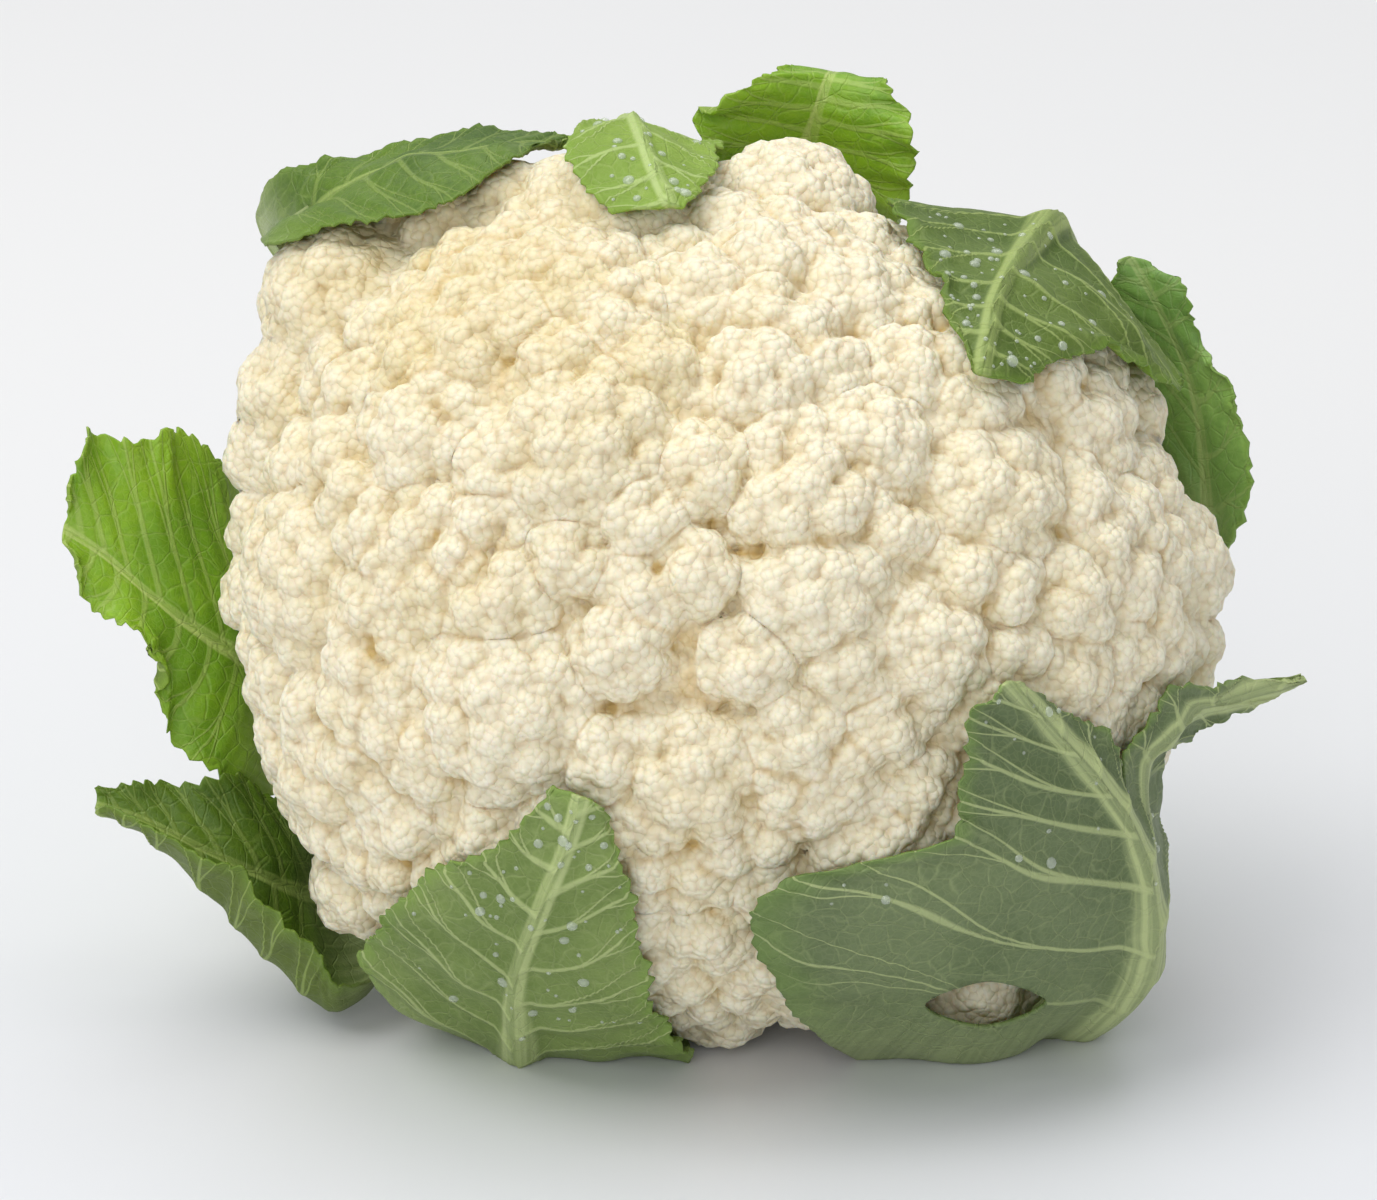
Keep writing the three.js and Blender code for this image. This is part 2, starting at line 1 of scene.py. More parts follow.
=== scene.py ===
# A head of cauliflower lying on a pale studio floor, dressed round its solids.
# Shapes are worked out in millimetres in the head's own frame: x to the right, y up the face,
# z out of the face. toPart turns them into metres in the part's frame.
import math
import time
import bmesh
import bpy
import numpy as np
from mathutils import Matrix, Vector
from mathutils.kdtree import KDTree


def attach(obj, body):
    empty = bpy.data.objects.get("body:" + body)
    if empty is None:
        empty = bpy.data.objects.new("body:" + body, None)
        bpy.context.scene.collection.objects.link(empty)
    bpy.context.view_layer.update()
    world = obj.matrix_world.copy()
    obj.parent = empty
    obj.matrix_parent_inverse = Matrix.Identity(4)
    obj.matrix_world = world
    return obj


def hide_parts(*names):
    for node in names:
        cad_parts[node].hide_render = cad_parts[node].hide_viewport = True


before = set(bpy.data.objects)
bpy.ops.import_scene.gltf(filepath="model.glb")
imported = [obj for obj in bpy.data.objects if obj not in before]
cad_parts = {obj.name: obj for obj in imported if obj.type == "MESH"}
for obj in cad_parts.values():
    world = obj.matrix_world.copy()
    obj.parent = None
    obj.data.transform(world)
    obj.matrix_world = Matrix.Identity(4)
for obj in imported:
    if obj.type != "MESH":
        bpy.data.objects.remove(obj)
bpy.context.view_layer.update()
started = time.time()

head = {
    "seat": (8.0, -14.0, 77.5),  # the head's centre in the part's frame
    "lean": 20.0,  # degrees that the face looks up above level
    "readingDistance": 900.0,  # the distance from which its shapes were read
}
leanUp = math.sin(math.radians(head["lean"]))
leanBack = math.cos(math.radians(head["lean"]))


def report(stage):
    print(f"{stage}, {time.time() - started:.1f} s")


def toPart(points):
    x, y, z = np.moveaxis(points, -1, 0)
    seat = head["seat"]
    across, back, up = seat[0] + x, seat[1] + y * leanUp - z * leanBack, seat[2] + y * leanBack + z * leanUp
    return np.stack([across, back, up], -1) / 1000


def pressUp(points, height):
    # Lifts what would lie lower than a height over the table.
    low = height - (head["seat"][2] + points[..., 1] * leanBack + points[..., 2] * leanUp)
    return points + np.maximum(low, 0)[..., None] * np.array([0.0, leanBack, leanUp])


def seen(points):
    # From where a point appears from the front, at its depth, to where it is.
    result = np.array(points, float)
    result[..., :2] *= 1 - result[..., 2:] / head["readingDistance"]
    return result


def unit(vectors):
    return vectors / np.maximum(np.linalg.norm(vectors, axis=-1, keepdims=True), 1e-9)


def smooth(value, low, high):
    t = np.clip((value - low) / (high - low), 0, 1)
    return t * t * (3 - 2 * t)


def lumps(points, width, seed):
    # A smooth, uneven field between about -1 and 1, whose lumps have about that width.
    rng = np.random.default_rng(seed)
    total = np.zeros(points.shape[:-1])
    for _ in range(9):
        wave = unit(rng.normal(size=3)) * rng.uniform(0.7, 1.5) * math.pi / width
        total += np.sin(points @ wave + rng.uniform(0, 6.3))
    return total / 3.2


def meshObject(name, points, faces, material, attributes=None, metres=False):
    mesh = bpy.data.meshes.new(name)
    placed = points if metres else toPart(points)
    faces = np.asarray(faces, np.int32)
    mesh.vertices.add(len(placed))
    mesh.vertices.foreach_set("co", placed.astype(np.float32).ravel())
    mesh.loops.add(faces.size)
    mesh.loops.foreach_set("vertex_index", faces.ravel())
    mesh.polygons.add(len(faces))
    mesh.polygons.foreach_set("loop_start", np.arange(0, faces.size, faces.shape[1], dtype=np.int32))
    mesh.update(calc_edges=True)
    mesh.validate()
    mesh.polygons.foreach_set("use_smooth", np.ones(len(mesh.polygons), bool))
    for key, values in (attributes or {}).items():
        layer = mesh.attributes.new(key, "FLOAT", "POINT")
        layer.data.foreach_set("value", np.asarray(values, np.float32).ravel())
    made = bpy.data.objects.new(name, mesh)
    bpy.context.scene.collection.objects.link(made)
    mesh.materials.append(material)
    return made


def place(piece, node):
    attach(piece, "root")
    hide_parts(node)


# Shader maths: a wire is a node's output, and sums of wires add the nodes that work them out.
class Wire:
    def __init__(self, finish, socket):
        self.finish = finish
        self.socket = socket

    def math(self, operation, *others):
        values = dict(enumerate((self,) + others))
        return self.finish.node("ShaderNodeMath", {"operation": operation}, values)

    def swapped(self, operation, other):
        return self.finish.node("ShaderNodeMath", {"operation": operation}, {0: other, 1: self})

    def __add__(self, other):
        return self.math("ADD", other)

    def __sub__(self, other):
        return self.math("SUBTRACT", other)

    def __rsub__(self, other):
        return self.swapped("SUBTRACT", other)

    def __mul__(self, other):
        return self.math("MULTIPLY", other)

    def __truediv__(self, other):
        return self.math("DIVIDE", other)

    def __rtruediv__(self, other):
        return self.swapped("DIVIDE", other)

    __radd__ = __add__
    __rmul__ = __mul__

    def between(self, low, high):
        # 0 below low, 1 above high, smooth between them.
        values = {"Value": self, "From Min": low, "From Max": high}
        return self.finish.node("ShaderNodeMapRange", {"interpolation_type": "SMOOTHSTEP"}, values)


def eitherWay(operation, plain):
    # A function that works on wires, by a Math node, and on arrays of numbers.
    def work(value, *others):
        return value.math(operation, *others) if isinstance(value, Wire) else plain(value, *others)
    return work


sine = eitherWay("SINE", np.sin)
whole = eitherWay("ROUND", np.round)
absolute = eitherWay("ABSOLUTE", np.abs)
smaller = eitherWay("MINIMUM", np.minimum)
larger = eitherWay("MAXIMUM", np.maximum)


class Finish:
    def __init__(self, name):
        self.material = bpy.data.materials.new(name)
        self.material.use_nodes = True
        self.tree = self.material.node_tree
        self.tree.nodes.clear()

    def node(self, kind, settings=None, sockets=None, out=0):
        # Any node: its settings first, then its sockets' values or wires; out picks its output.
        made = self.tree.nodes.new(kind)
        for key, value in (settings or {}).items():
            setattr(made, key, value)
        for key, value in (sockets or {}).items():
            if isinstance(value, Wire):
                self.tree.links.new(value.socket, made.inputs[key])
            else:
                made.inputs[key].default_value = value
        return Wire(self, made.outputs[out])

    def blend(self, share, low, high):
        # A colour between two colours, each a wire or three numbers.
        low, high = (c if isinstance(c, Wire) else (*c, 1.0) for c in (low, high))
        return self.node("ShaderNodeMix", {"data_type": "RGBA"}, {0: share, 6: low, 7: high}, out=2)

    def moved(self, vector, offset):
        return self.node("ShaderNodeVectorMath", {"operation": "ADD"}, {0: vector, 1: offset})

    def stretched(self, vector, amount):
        return self.node("ShaderNodeVectorMath", {"operation": "SCALE"}, {0: vector, "Scale": amount})

    def painted(self, name):
        return self.node("ShaderNodeAttribute", {"attribute_name": name}, out="Fac")

    def spot(self):
        return self.node("ShaderNodeTexCoord", out="Object")

    def noise(self, vector, scale, detail=2.0, out="Fac"):
        values = {"Vector": vector, "Scale": scale, "Detail": detail}
        return self.node("ShaderNodeTexNoise", {}, values, out=out)

    def cells(self, vector, scale, feature="F1"):
        values = {"Vector": vector, "Scale": scale}
        return self.node("ShaderNodeTexVoronoi", {"feature": feature}, values, out="Distance")

    def raised(self, height, distance, strength=1.0):
        values = {"Height": height, "Distance": distance, "Strength": strength}
        return self.node("ShaderNodeBump", {}, values, out="Normal")

    def surface(self, sockets):
        skin = self.node("ShaderNodeBsdfPrincipled", {}, sockets)
        end = self.tree.nodes.new("ShaderNodeOutputMaterial")
        self.tree.links.new(skin.socket, end.inputs["Surface"])
        return self.material


# The curd: one closed skin of main florets on a core, with knobs on every floret and buds on
# every knob.
curd = {
    "width": 180.0, "height": 160.0, "front": 63.0, "back": 45.0, "cornerPower": 2.3,
    # The curd that the leaves lie on, and the one that shows.
    "solid": {"inset": 7.0, "softness": 0.9, "knobRise": 2.4, "groove": 0.0, "grooveGap": 1.0},
    "skin": {"inset": 6.5, "softness": 0.6, "knobRise": 1.2, "groove": 0.6, "grooveGap": 2.4},
    "floretBulge": 1.3, "floretStep": 0.3,
    "backRows": [(-10, 13, 26), (-25, 20, 22)],  # florets round the back: depth, inset, count
    "backEdge": (-0.46, -0.34),  # where the smooth back ends and the florets begin
    "fill": {"tries": 900, "bare": 4.5, "radius": 12.0, "sunk": 1.6},  # small florets in the gaps
    "grid": 127,  # quads along an edge of each of the skin's six fields
    "frontBias": 0.75,  # how far the fields crowd towards the face
    "evening": 24,  # rounds that even out the skin's quads
    "coarseBack": (-32, -2), "coarseShare": 0.3,  # the back's quads are larger than the face's
    "lift": 1.7,  # how far the curd keeps from the table, for the leaves under it
    "knobs": {"spacing": 6.2, "roundness": 0.94, "seed": 5},
    "buds": {"spacing": 2.3, "roundness": 1.15, "seed": 8},
    # Where leaves have kept the curd flatter: turn, depth and spread.
    "flats": [(58, 0.09, 22), (20, 0.05, 10), (-38, 0.06, 22), (-19, 0.035, 8), (101, 0.055, 11)],
    "strawSpot": (-42, 52, 38),  # the middle and the spread of the yellower part
    # cream is the curd's colour and straw its yellower parts; pale is a painted highlight on the knob tops.
    "cream": (0.87, 0.79, 0.575), "pale": (0.93, 0.875, 0.70), "straw": (0.78, 0.66, 0.36),
    # The crease colour is the creases' own yellow-brown together with painted shade in them.
    "creaseAndShade": (0.58, 0.38, 0.10),
}

# Main florets of the face: x, y and radius as seen from the front, top row first.
florets = [
    (-53, 68, 9), (-40, 68, 10), (-29, 72, 8), (-8, 67, 9), (2, 71, 9), (12, 70, 13), (25, 64, 9),
    (37, 58, 9),
    (-69, 53, 13), (-55, 51, 11), (-37, 46, 10), (-21, 59, 20), (-4, 53, 11), (7, 57, 11), (22, 51, 14),
    (37, 50, 10), (49, 54, 9), (58, 47, 10),
    (-76, 36, 11), (-63, 35, 10), (-50, 27, 14), (-14, 41, 9), (6, 38, 11), (34, 41, 10), (45, 34, 9),
    (53, 40, 9), (62, 30, 13), (73, 35, 9),
    (-82, 26, 8), (-24, 24, 17), (12, 27, 9), (27, 27, 11), (-4, 23, 9), (46, 17, 15), (63, 16, 10),
    (75, 19, 9),
    (-83, 13, 7), (-64, 4, 19), (-28, 7, 8), (-15, 14, 8), (14, 16, 14), (-6, 4, 8),
    (-83, 1, 8), (-39, 0, 12), (15, 1, 14), (42, 3, 9), (59, 0, 11), (78, 5, 12),
    (-58, -12, 9), (-36, -18, 18), (-19, -9, 9), (4, -11, 9), (22, -12, 9), (36, -9, 13), (59, -13, 11),
    (70, -9, 9), (78, -9, 11),
    (-72, -20, 8), (-50, -26, 11), (-21, -28, 9), (12, -24, 10), (28, -24, 9), (47, -19, 10), (72, -24, 12),
    (-67, -29, 12), (-55, -39, 10), (-41, -41, 10), (-29, -38, 9), (-6, -30, 14), (35, -35, 9),
    (50, -31, 10), (65, -34, 12),
    (-65, -52, 9), (-54, -54, 10), (-40, -55, 11), (-28, -53, 9), (-15, -47, 9), (24, -42, 15), (8, -49, 9),
    (42, -50, 11), (57, -47, 12),
    (-49, -64, 9), (-36, -68, 9), (-22, -69, 10), (-4, -55, 11), (-1, -70, 10), (17, -66, 11),
    (33, -67, 11), (45, -68, 12.5), (58, -58, 11),
]


def flattened(x, y):
    # The head's size towards one side, less than 1 where a leaf has kept the curd flatter.
    turn = np.degrees(np.arctan2(y, x))
    share = np.ones_like(turn)
    for middle, depth, spread in curd["flats"]:
        share -= depth * np.exp(-(((turn - middle) / spread) ** 2))
    return share


def ringShare(x, y, inset):
    share, power = flattened(x, y), curd["cornerPower"]
    a, b = share * curd["width"] / 2 - inset, share * curd["height"] / 2 - inset
    return ((np.abs(x) / a) ** power + (np.abs(y) / b) ** power) ** (2 / power)


def domeReach(d, inset):
    # How far a rounded-square dome reaches along directions from the head's centre.
    depth = np.where(d[:, 2] > 0, curd["front"] - inset, curd["back"])
    return 1 / np.sqrt(ringShare(d[:, 0], d[:, 1], inset) + (d[:, 2] / depth) ** 2)


def ballReach(d, centre, radius):
    # The far crossing of rays from the head's centre with a ball, or 0 where they miss.
    along = d @ centre
    under = radius ** 2 - centre @ centre + along ** 2
    return np.where(under < 0, 0, along + np.sqrt(np.maximum(under, 0)))


def spiral(count):
    # An even spiral of directions all round.
    number = np.arange(count)
    z = 1 - (2 * number + 1) / count
    ring, turn = np.sqrt(1 - z * z), number * math.pi * (3 - math.sqrt(5))
    return np.stack([np.cos(turn) * ring, np.sin(turn) * ring, z], -1)


def mainFlorets():
    balls = []
    for x, y, shown in florets:
        radius = shown * curd["floretBulge"]
        share = 0.98 * float(flattened(np.array([x]), np.array([y]))[0])
        ring = float(ringShare(np.array([x * share]), np.array([y * share]), radius)[0])
        depth = (curd["front"] - radius) * math.sqrt(max(0, 1 - ring)) + curd["floretStep"] * (shown - 9)
        balls.append((seen([x * share, y * share, depth]), radius))
    state = 11

    def chance():
        nonlocal state
        state = (state * 16807) % 2147483647
        return state / 2147483647

    for z, inset, count in curd["backRows"]:
        for i in range(count):
            angle = (i + 0.5 * chance()) / count * math.pi * 2
            flat = np.array([math.cos(angle), math.sin(angle), 0.0])
            radius = 9 + 3 * chance()
            centre = flat * domeReach(flat[None], inset)[0]
            centre[2] = z - 3 * chance()
            balls.append((centre, radius))
    fill = curd["fill"]
    tries = spiral(fill["tries"])
    dome = domeReach(tries, 0)
    best = np.max([ballReach(tries, *ball) for ball in balls], axis=0)
    for n, d in enumerate(tries):
        if d[2] > -0.3 and best[n] < dome[n] - fill["bare"]:
            ball = (d * (dome[n] - fill["radius"] - fill["sunk"]), fill["radius"])
            best = np.maximum(best, ballReach(tries, *ball))
            balls.append(ball)
    return balls


mains = mainFlorets()


def knobShare(d):
    # 1 where the surface is florets, 0 on the smooth back.
    return smooth(d[:, 2], *curd["backEdge"])


def curdBase(d, form):
    # How far the florets reach along directions, without their knobs, and each place's tone.
    core = domeReach(d, form["inset"])
    softness = form["softness"]
    total = np.ones(len(d))
    tone = np.zeros(len(d))
    first, second = np.zeros(len(d)), core
    rng = np.random.default_rng(3)
    for centre, radius in mains:
        reach = ballReach(d, centre, radius - form["knobRise"])
        second = np.maximum(second, np.minimum(first, reach))
        first = np.maximum(first, reach)
        weight = np.exp((reach - core) / softness)
        total += weight
        tone += weight * rng.uniform(-1, 1)
    turn = np.arctan2(d[:, 1], d[:, 0])
    relief = 2 * np.abs(np.sin(turn * 5.5 + 2 * np.sin(turn))) * (1 - knobShare(d))
    edge = np.clip(1 - (first - second) / form["grooveGap"], 0, 1)
    depth = 1 + 0.8 * lumps(d, 0.22, 31)
    groove = form["groove"] * depth * edge ** 2.2 * knobShare(d)
    return core + softness * np.log(total) + relief - groove, tone / total, edge * knobShare(d)


def curdReach(d):
    return curdBase(d, curd["solid"])[0] + curd["solid"]["knobRise"] * knobShare(d)


def roundGrid(count):
    # Quads all over a ball: six fields of count by count, welded along their edges.
    line = np.tan(np.linspace(-1, 1, count + 1) * math.pi / 4)
    a, b = np.meshgrid(line, line, indexing="ij")
    one = np.ones_like(a)
    fields = [(one, a, b), (-one, b, a), (b, one, a), (a, -one, b), (a, b, one), (b, a, -one)]
    points = np.concatenate([np.stack(field, -1).reshape(-1, 3) for field in fields])
    first = (np.arange(count)[:, None] * (count + 1) + np.arange(count)).ravel()
    quads = np.stack([first, first + count + 1, first + count + 2, first + 1], 1)
    faces = np.concatenate([quads + n * (count + 1) ** 2 for n in range(6)])
    _, kept, where = np.unique(np.round(points, 5), axis=0, return_index=True, return_inverse=True)
    return unit(points[kept]), where.reshape(-1)[faces]


def gathered(quads, values, count):
    # Sums what the quads carry at each of their corners.
    total = np.zeros((count, values.shape[1]))
    for corner in range(4):
        for column in range(values.shape[1]):
            total[:, column] += np.bincount(quads[:, corner], values[:, column], count)
    return total


def quadAreas(corners):
    # Twice each quad's area, pointing out of the skin.
    return np.cross(corners[:, 2] - corners[:, 0], corners[:, 3] - corners[:, 1])


def skinNormals(points, quads):
    return unit(gathered(quads, quadAreas(points[quads]), len(points)))


def evened(points, quads, rounds):
    # Slides points along the skin until its quads are alike in size, those at the back larger.
    for _ in range(rounds):
        corners = points[quads]
        middle = corners.mean(1)
        share = curd["coarseShare"] + (1 - curd["coarseShare"]) * smooth(middle[:, 2], *curd["coarseBack"])
        share = np.linalg.norm(quadAreas(corners), axis=1) * share
        total = gathered(quads, np.column_stack([middle * share[:, None], share]), len(points))
        move = total[:, :3] / total[:, 3:] - points
        normal = skinNormals(points, quads)
        points = points + 0.8 * (move - (move * normal).sum(1, keepdims=True) * normal)
    return points


def scatter(points, spacing, seed):
    # Picks points no closer than a spacing, in a seeded order.
    order = np.random.default_rng(seed).permutation(len(points)).tolist()
    spots = points.tolist()
    keys = np.floor(points / spacing).astype(int).tolist()
    cells, kept = {}, []
    near = [(i, j, k) for i in (-1, 0, 1) for j in (-1, 0, 1) for k in (-1, 0, 1)]
    for n in order:
        x, y, z = spots[n]
        i, j, k = keys[n]
        others = (q for a, b, c in near for q in cells.get((i + a, j + b, k + c), ()))
        if any((x - q[0]) ** 2 + (y - q[1]) ** 2 + (z - q[2]) ** 2 < spacing ** 2 for q in others):
            continue
        cells.setdefault((i, j, k), []).append((x, y, z))
        kept.append((x, y, z))
    return kept


def treeOf(points):
    tree = KDTree(len(points))
    for n, point in enumerate(points):
        tree.insert(point, n)
    tree.balance()
    return tree


def bulge(points, spread):
    # Round bumps over a skin: how high each point stands, and 0 in the creases to 1 on the tops.
    centres = scatter(points, spread["spacing"], spread["seed"])
    tree = treeOf(centres)
    room = np.array([np.mean([hit[2] for hit in tree.find_n(c, 5)[1:]]) for c in centres])
    hits = [[(hit[1], hit[2]) for hit in tree.find_n(p, 3)] for p in points.tolist()]
    found = np.array(hits)
    gap = room[found[..., 0].astype(int)]
    radius = spread["roundness"] * gap
    dome = np.sqrt(np.maximum(radius ** 2 - found[..., 1] ** 2, (0.2 * radius) ** 2))
    height = dome - gap * math.sqrt(spread["roundness"] ** 2 - 0.25)
    soft = 0.04 * spread["spacing"]
    top = height.max(1)
    level = top + soft * np.log(np.exp((height - top[:, None]) / soft).sum(1)) - soft * 0.2
    relief = gap[:, 0] * (spread["roundness"] - math.sqrt(spread["roundness"] ** 2 - 0.25))
    return level, np.clip((level + relief) / (2 * relief), 0, 1)


def curdFinish():
    finish = Finish("curdCream")
    spot = finish.spot()
    painted = ("hollowShade", "knobTop", "budTop", "tone", "straw")
    hollowShade, knob, bud, tone, straw = (finish.painted(name) for name in painted)
    mottle = finish.noise(spot, 160, 3)
    broad = finish.noise(spot, 28, 2)
    warm = (tone * 0.25 + straw * 0.75 + (broad - 0.5) * 1.1).between(-0.1, 1.0)
    colour = finish.blend(warm * 0.75, curd["cream"], curd["straw"])
    # Painted highlight: the knob tops are painted paler, less so where the curd is yellower.
    colour = finish.blend(knob.between(0.35, 1.0) * 0.55 * (1 - warm * 0.6), colour, curd["pale"])
    # Painted shade over the curd's own yellow-brown: the crease colour darkens the gaps between knobs, the
    # edges between florets and the deep hollows between them.
    edge = finish.painted("floretEdge").between(0.5, 1.0) * mottle.between(0.3, 0.7)
    deep = (1 - knob.between(0.0, 0.3)) * mottle.between(0.25, 0.75) + edge
    deep = smaller(deep * 0.55 + hollowShade.between(0.5, 1.0) * 0.3, 0.85)
    colour = finish.blend(deep, colour, curd["creaseAndShade"])
    # Painted shade in the gaps between buds and along the bead edges, in the crease colour.
    colour = finish.blend((1 - bud.between(0.0, 0.5)) * 0.2, colour, curd["creaseAndShade"])
    bead = finish.cells(spot, 640)
    colour = finish.blend(bead.between(0.45, 0.8) * 0.14, colour, curd["creaseAndShade"])
    grain = bead * bead * -2.0
    return finish.surface({
        "Base Color": colour, "Roughness": 0.52 + mottle * 0.16,
        "Subsurface Weight": 0.45, "Subsurface Radius": (1.0, 0.7, 0.4), "Subsurface Scale": 0.004,
        "Specular IOR Level": 0.42, "Normal": finish.raised(grain, 0.0005, 0.8),
    })


def makeCurd():
    field, quads = roundGrid(curd["grid"])
    halves = np.array([curd["width"] / 2, curd["height"] / 2, curd["front"]])
    d = unit((field + (0, 0, curd["frontBias"])) * halves)
    skin = evened(d * curdBase(d, curd["skin"])[0][:, None], quads, curd["evening"])
    d = unit(skin)
    _, tone, edge = curdBase(d, curd["skin"])
    share = knobShare(d)
    # How far the skin lies under the dome: it paints shade into the deep gaps between florets.
    hollowShade = np.clip((domeReach(d, 2.0) - np.linalg.norm(skin, axis=1)) / 8, 0, 1)
    report("florets")
    push = unit(skinNormals(skin, quads) + 0.6 * d)
    level, knobTop = bulge(skin, curd["knobs"])
    skin = skin + push * (level * share)[:, None]
    report("knobs")
    push = unit(skinNormals(skin, quads) + 0.3 * d)
    level, budTop = bulge(skin, curd["buds"])
    skin = skin + push * (level * share)[:, None]
    report("buds")
    x, y, spread = curd["strawSpot"]
    straw = np.exp(-((skin[:, 0] - x) ** 2 + (skin[:, 1] - y) ** 2) / spread ** 2)
    painted = {
        "hollowShade": hollowShade, "tone": tone, "straw": straw, "floretEdge": edge,
        "knobTop": 1 + (knobTop - 1) * share, "budTop": 1 + (budTop - 1) * share,
    }
    made = meshObject("curdSkin", pressUp(skin, curd["lift"]), quads, curdFinish(), painted)
    place(made, "curd")


makeCurd()
report("curd")

# The stem, cut across, with the scars of old leaves.
stem = {
    "radius": 23.0, "droop": 8.0, "end": 98.0, "sides": 96,
    "outline": [  # radius and distance back, from inside the curd to the middle of the cut
        (0, 30), (29, 30), (27, 44), (23, 54), (22, 60), (23.5, 63), (21.8, 71), (23.3, 74), (21.5, 83),
        (22.8, 86), (21, 96), (19, 98), (0, 98),
    ],
    "skin": (0.55, 0.60, 0.30), "pith": (0.80, 0.79, 0.52),
    "ring": (0.52, 0.50, 0.22), "dry": (0.42, 0.30, 0.13),
}
stemAxis = np.array([0.0, -math.sin(math.radians(stem["droop"])), -math.cos(math.radians(stem["droop"]))])


def stemFinish():
    finish = Finish("stemPith")
    spot = finish.spot()
    across, cut = finish.painted("across"), finish.painted("cutFace")
    streak = finish.noise(spot, 90, 4)
    skin = finish.blend(streak.between(0.3, 0.75), stem["skin"], stem["pith"])
    skin = finish.blend(finish.noise(spot, 24, 3).between(0.58, 0.8) * 0.5, skin, stem["dry"])
    ring = across.between(0.68, 0.76) * (1 - across.between(0.80, 0.88))
    face = finish.blend(ring * (0.4 + streak * 0.6), stem["pith"], stem["ring"])
    dry = across.between(0.86, 1.0) + finish.noise(spot, 60, 3).between(0.55, 0.8)
    face = finish.blend(dry * 0.4, face, stem["dry"])
    height = finish.noise(spot, 700, 3) * 0.6 + streak * 0.6
    return finish.surface({
        "Base Color": finish.blend(cut, skin, face), "Roughness": 0.5 + streak * 0.2,
        "Subsurface Weight": 0.15, "Subsurface Radius": (1.0, 0.8, 0.4), "Subsurface Scale": 0.002,
        "Normal": finish.raised(height, 0.0003, 0.6),
    })


def makeStem():
    marks = np.array(stem["outline"], float)
    way = np.concatenate([[0], np.cumsum(np.linalg.norm(np.diff(marks, axis=0), axis=1))])
    along = np.unique(np.concatenate([np.linspace(0, way[-1], 110), way]))
    radius, reach = np.interp(along, way, marks[:, 0]), np.interp(along, way, marks[:, 1])
    turn = np.linspace(0, 2 * math.pi, stem["sides"], endpoint=False)
    end = stem["end"]
    side = np.array([1.0, 0.0, 0.0])
    up = np.cross(stemAxis, side)
    ring = np.cos(turn)[:, None] * side + np.sin(turn)[:, None] * up
    points = reach[:, None, None] * stemAxis + radius[:, None, None] * ring
    onSide = smooth(radius, 8, 18)[:, None] * (1 - smooth(reach, end - 4, end))[:, None]
    rough = lumps(points, 9, 21) * 0.45 + lumps(points, 3.2, 22) * 0.16
    points += (rough * onSide)[..., None] * ring
    onFace = smooth(reach, end - 1.5, end)[:, None] * (1 - smooth(radius, 17.5, 19.5))[:, None]
    dish = 1 - 0.7 * smooth(radius, 0, 17)[:, None]
    points -= ((0.8 * dish + 0.25 * lumps(points, 2.6, 23)) * onFace)[..., None] * stemAxis
    rows, sides = points.shape[:2]
    first = np.arange(rows - 1)[:, None] * sides + np.arange(sides)
    nextOne = np.arange(rows - 1)[:, None] * sides + (np.arange(sides) + 1) % sides
    quads = np.stack([first, nextOne, nextOne + sides, first + sides], -1).reshape(-1, 4)
    flat = np.zeros((rows, sides))
    cutFace = smooth(reach, end - 1.5, end - 0.2)
    painted = {"across": flat + (radius / 20)[:, None], "cutFace": flat + cutFace[:, None]}
    made = meshObject("stemCut", points.reshape(-1, 3), quads, stemFinish(), painted)
    cleaned(made)
    place(made, "stem")


def cleaned(made):
    # Welds the points that meet at a pole.
    work = bmesh.new()
    work.from_mesh(made.data)
    bmesh.ops.remove_doubles(work, verts=work.verts, dist=1e-6)
    bmesh.ops.recalc_face_normals(work, faces=work.faces)
    work.to_mesh(made.data)
    work.free()


makeStem()
report("stem")

# Leaves. Every leaf is a net of points, rows from the base to the tip, each row from the edge on
# the counter-clockwise side across the midrib to the other edge, as seen from the front.
growth = {
    "clearance": 3.0,  # how far a blade keeps from the curd
    "blade": 0.9, "rimBlade": 0.45,  # how thick it is, and how thick at its rim
    "across": 13,  # points across a blade before it is made finer
    "toothPitch": 3.4, "ribSpread": 1.35,
    "veinsFrom": 0.42,  # how far along a leaf its side veins begin
    "stalkHalves": (9.0, 11.0),  # half the width of a stalk at the stem and at its bend
    "rootSunk": 3.0,  # how deep a stalk's root lies in the stem
    "bendOut": 50.0, "bendInset": 8.0, "bendGap": 4.0,  # where the stalks bend, behind the curd
    "inner": {"along": 60.0, "clear": 2.5, "stalk": 7.0},
    "outer": {"along": 78.0, "clear": 13.0, "stalk": 8.0},
}

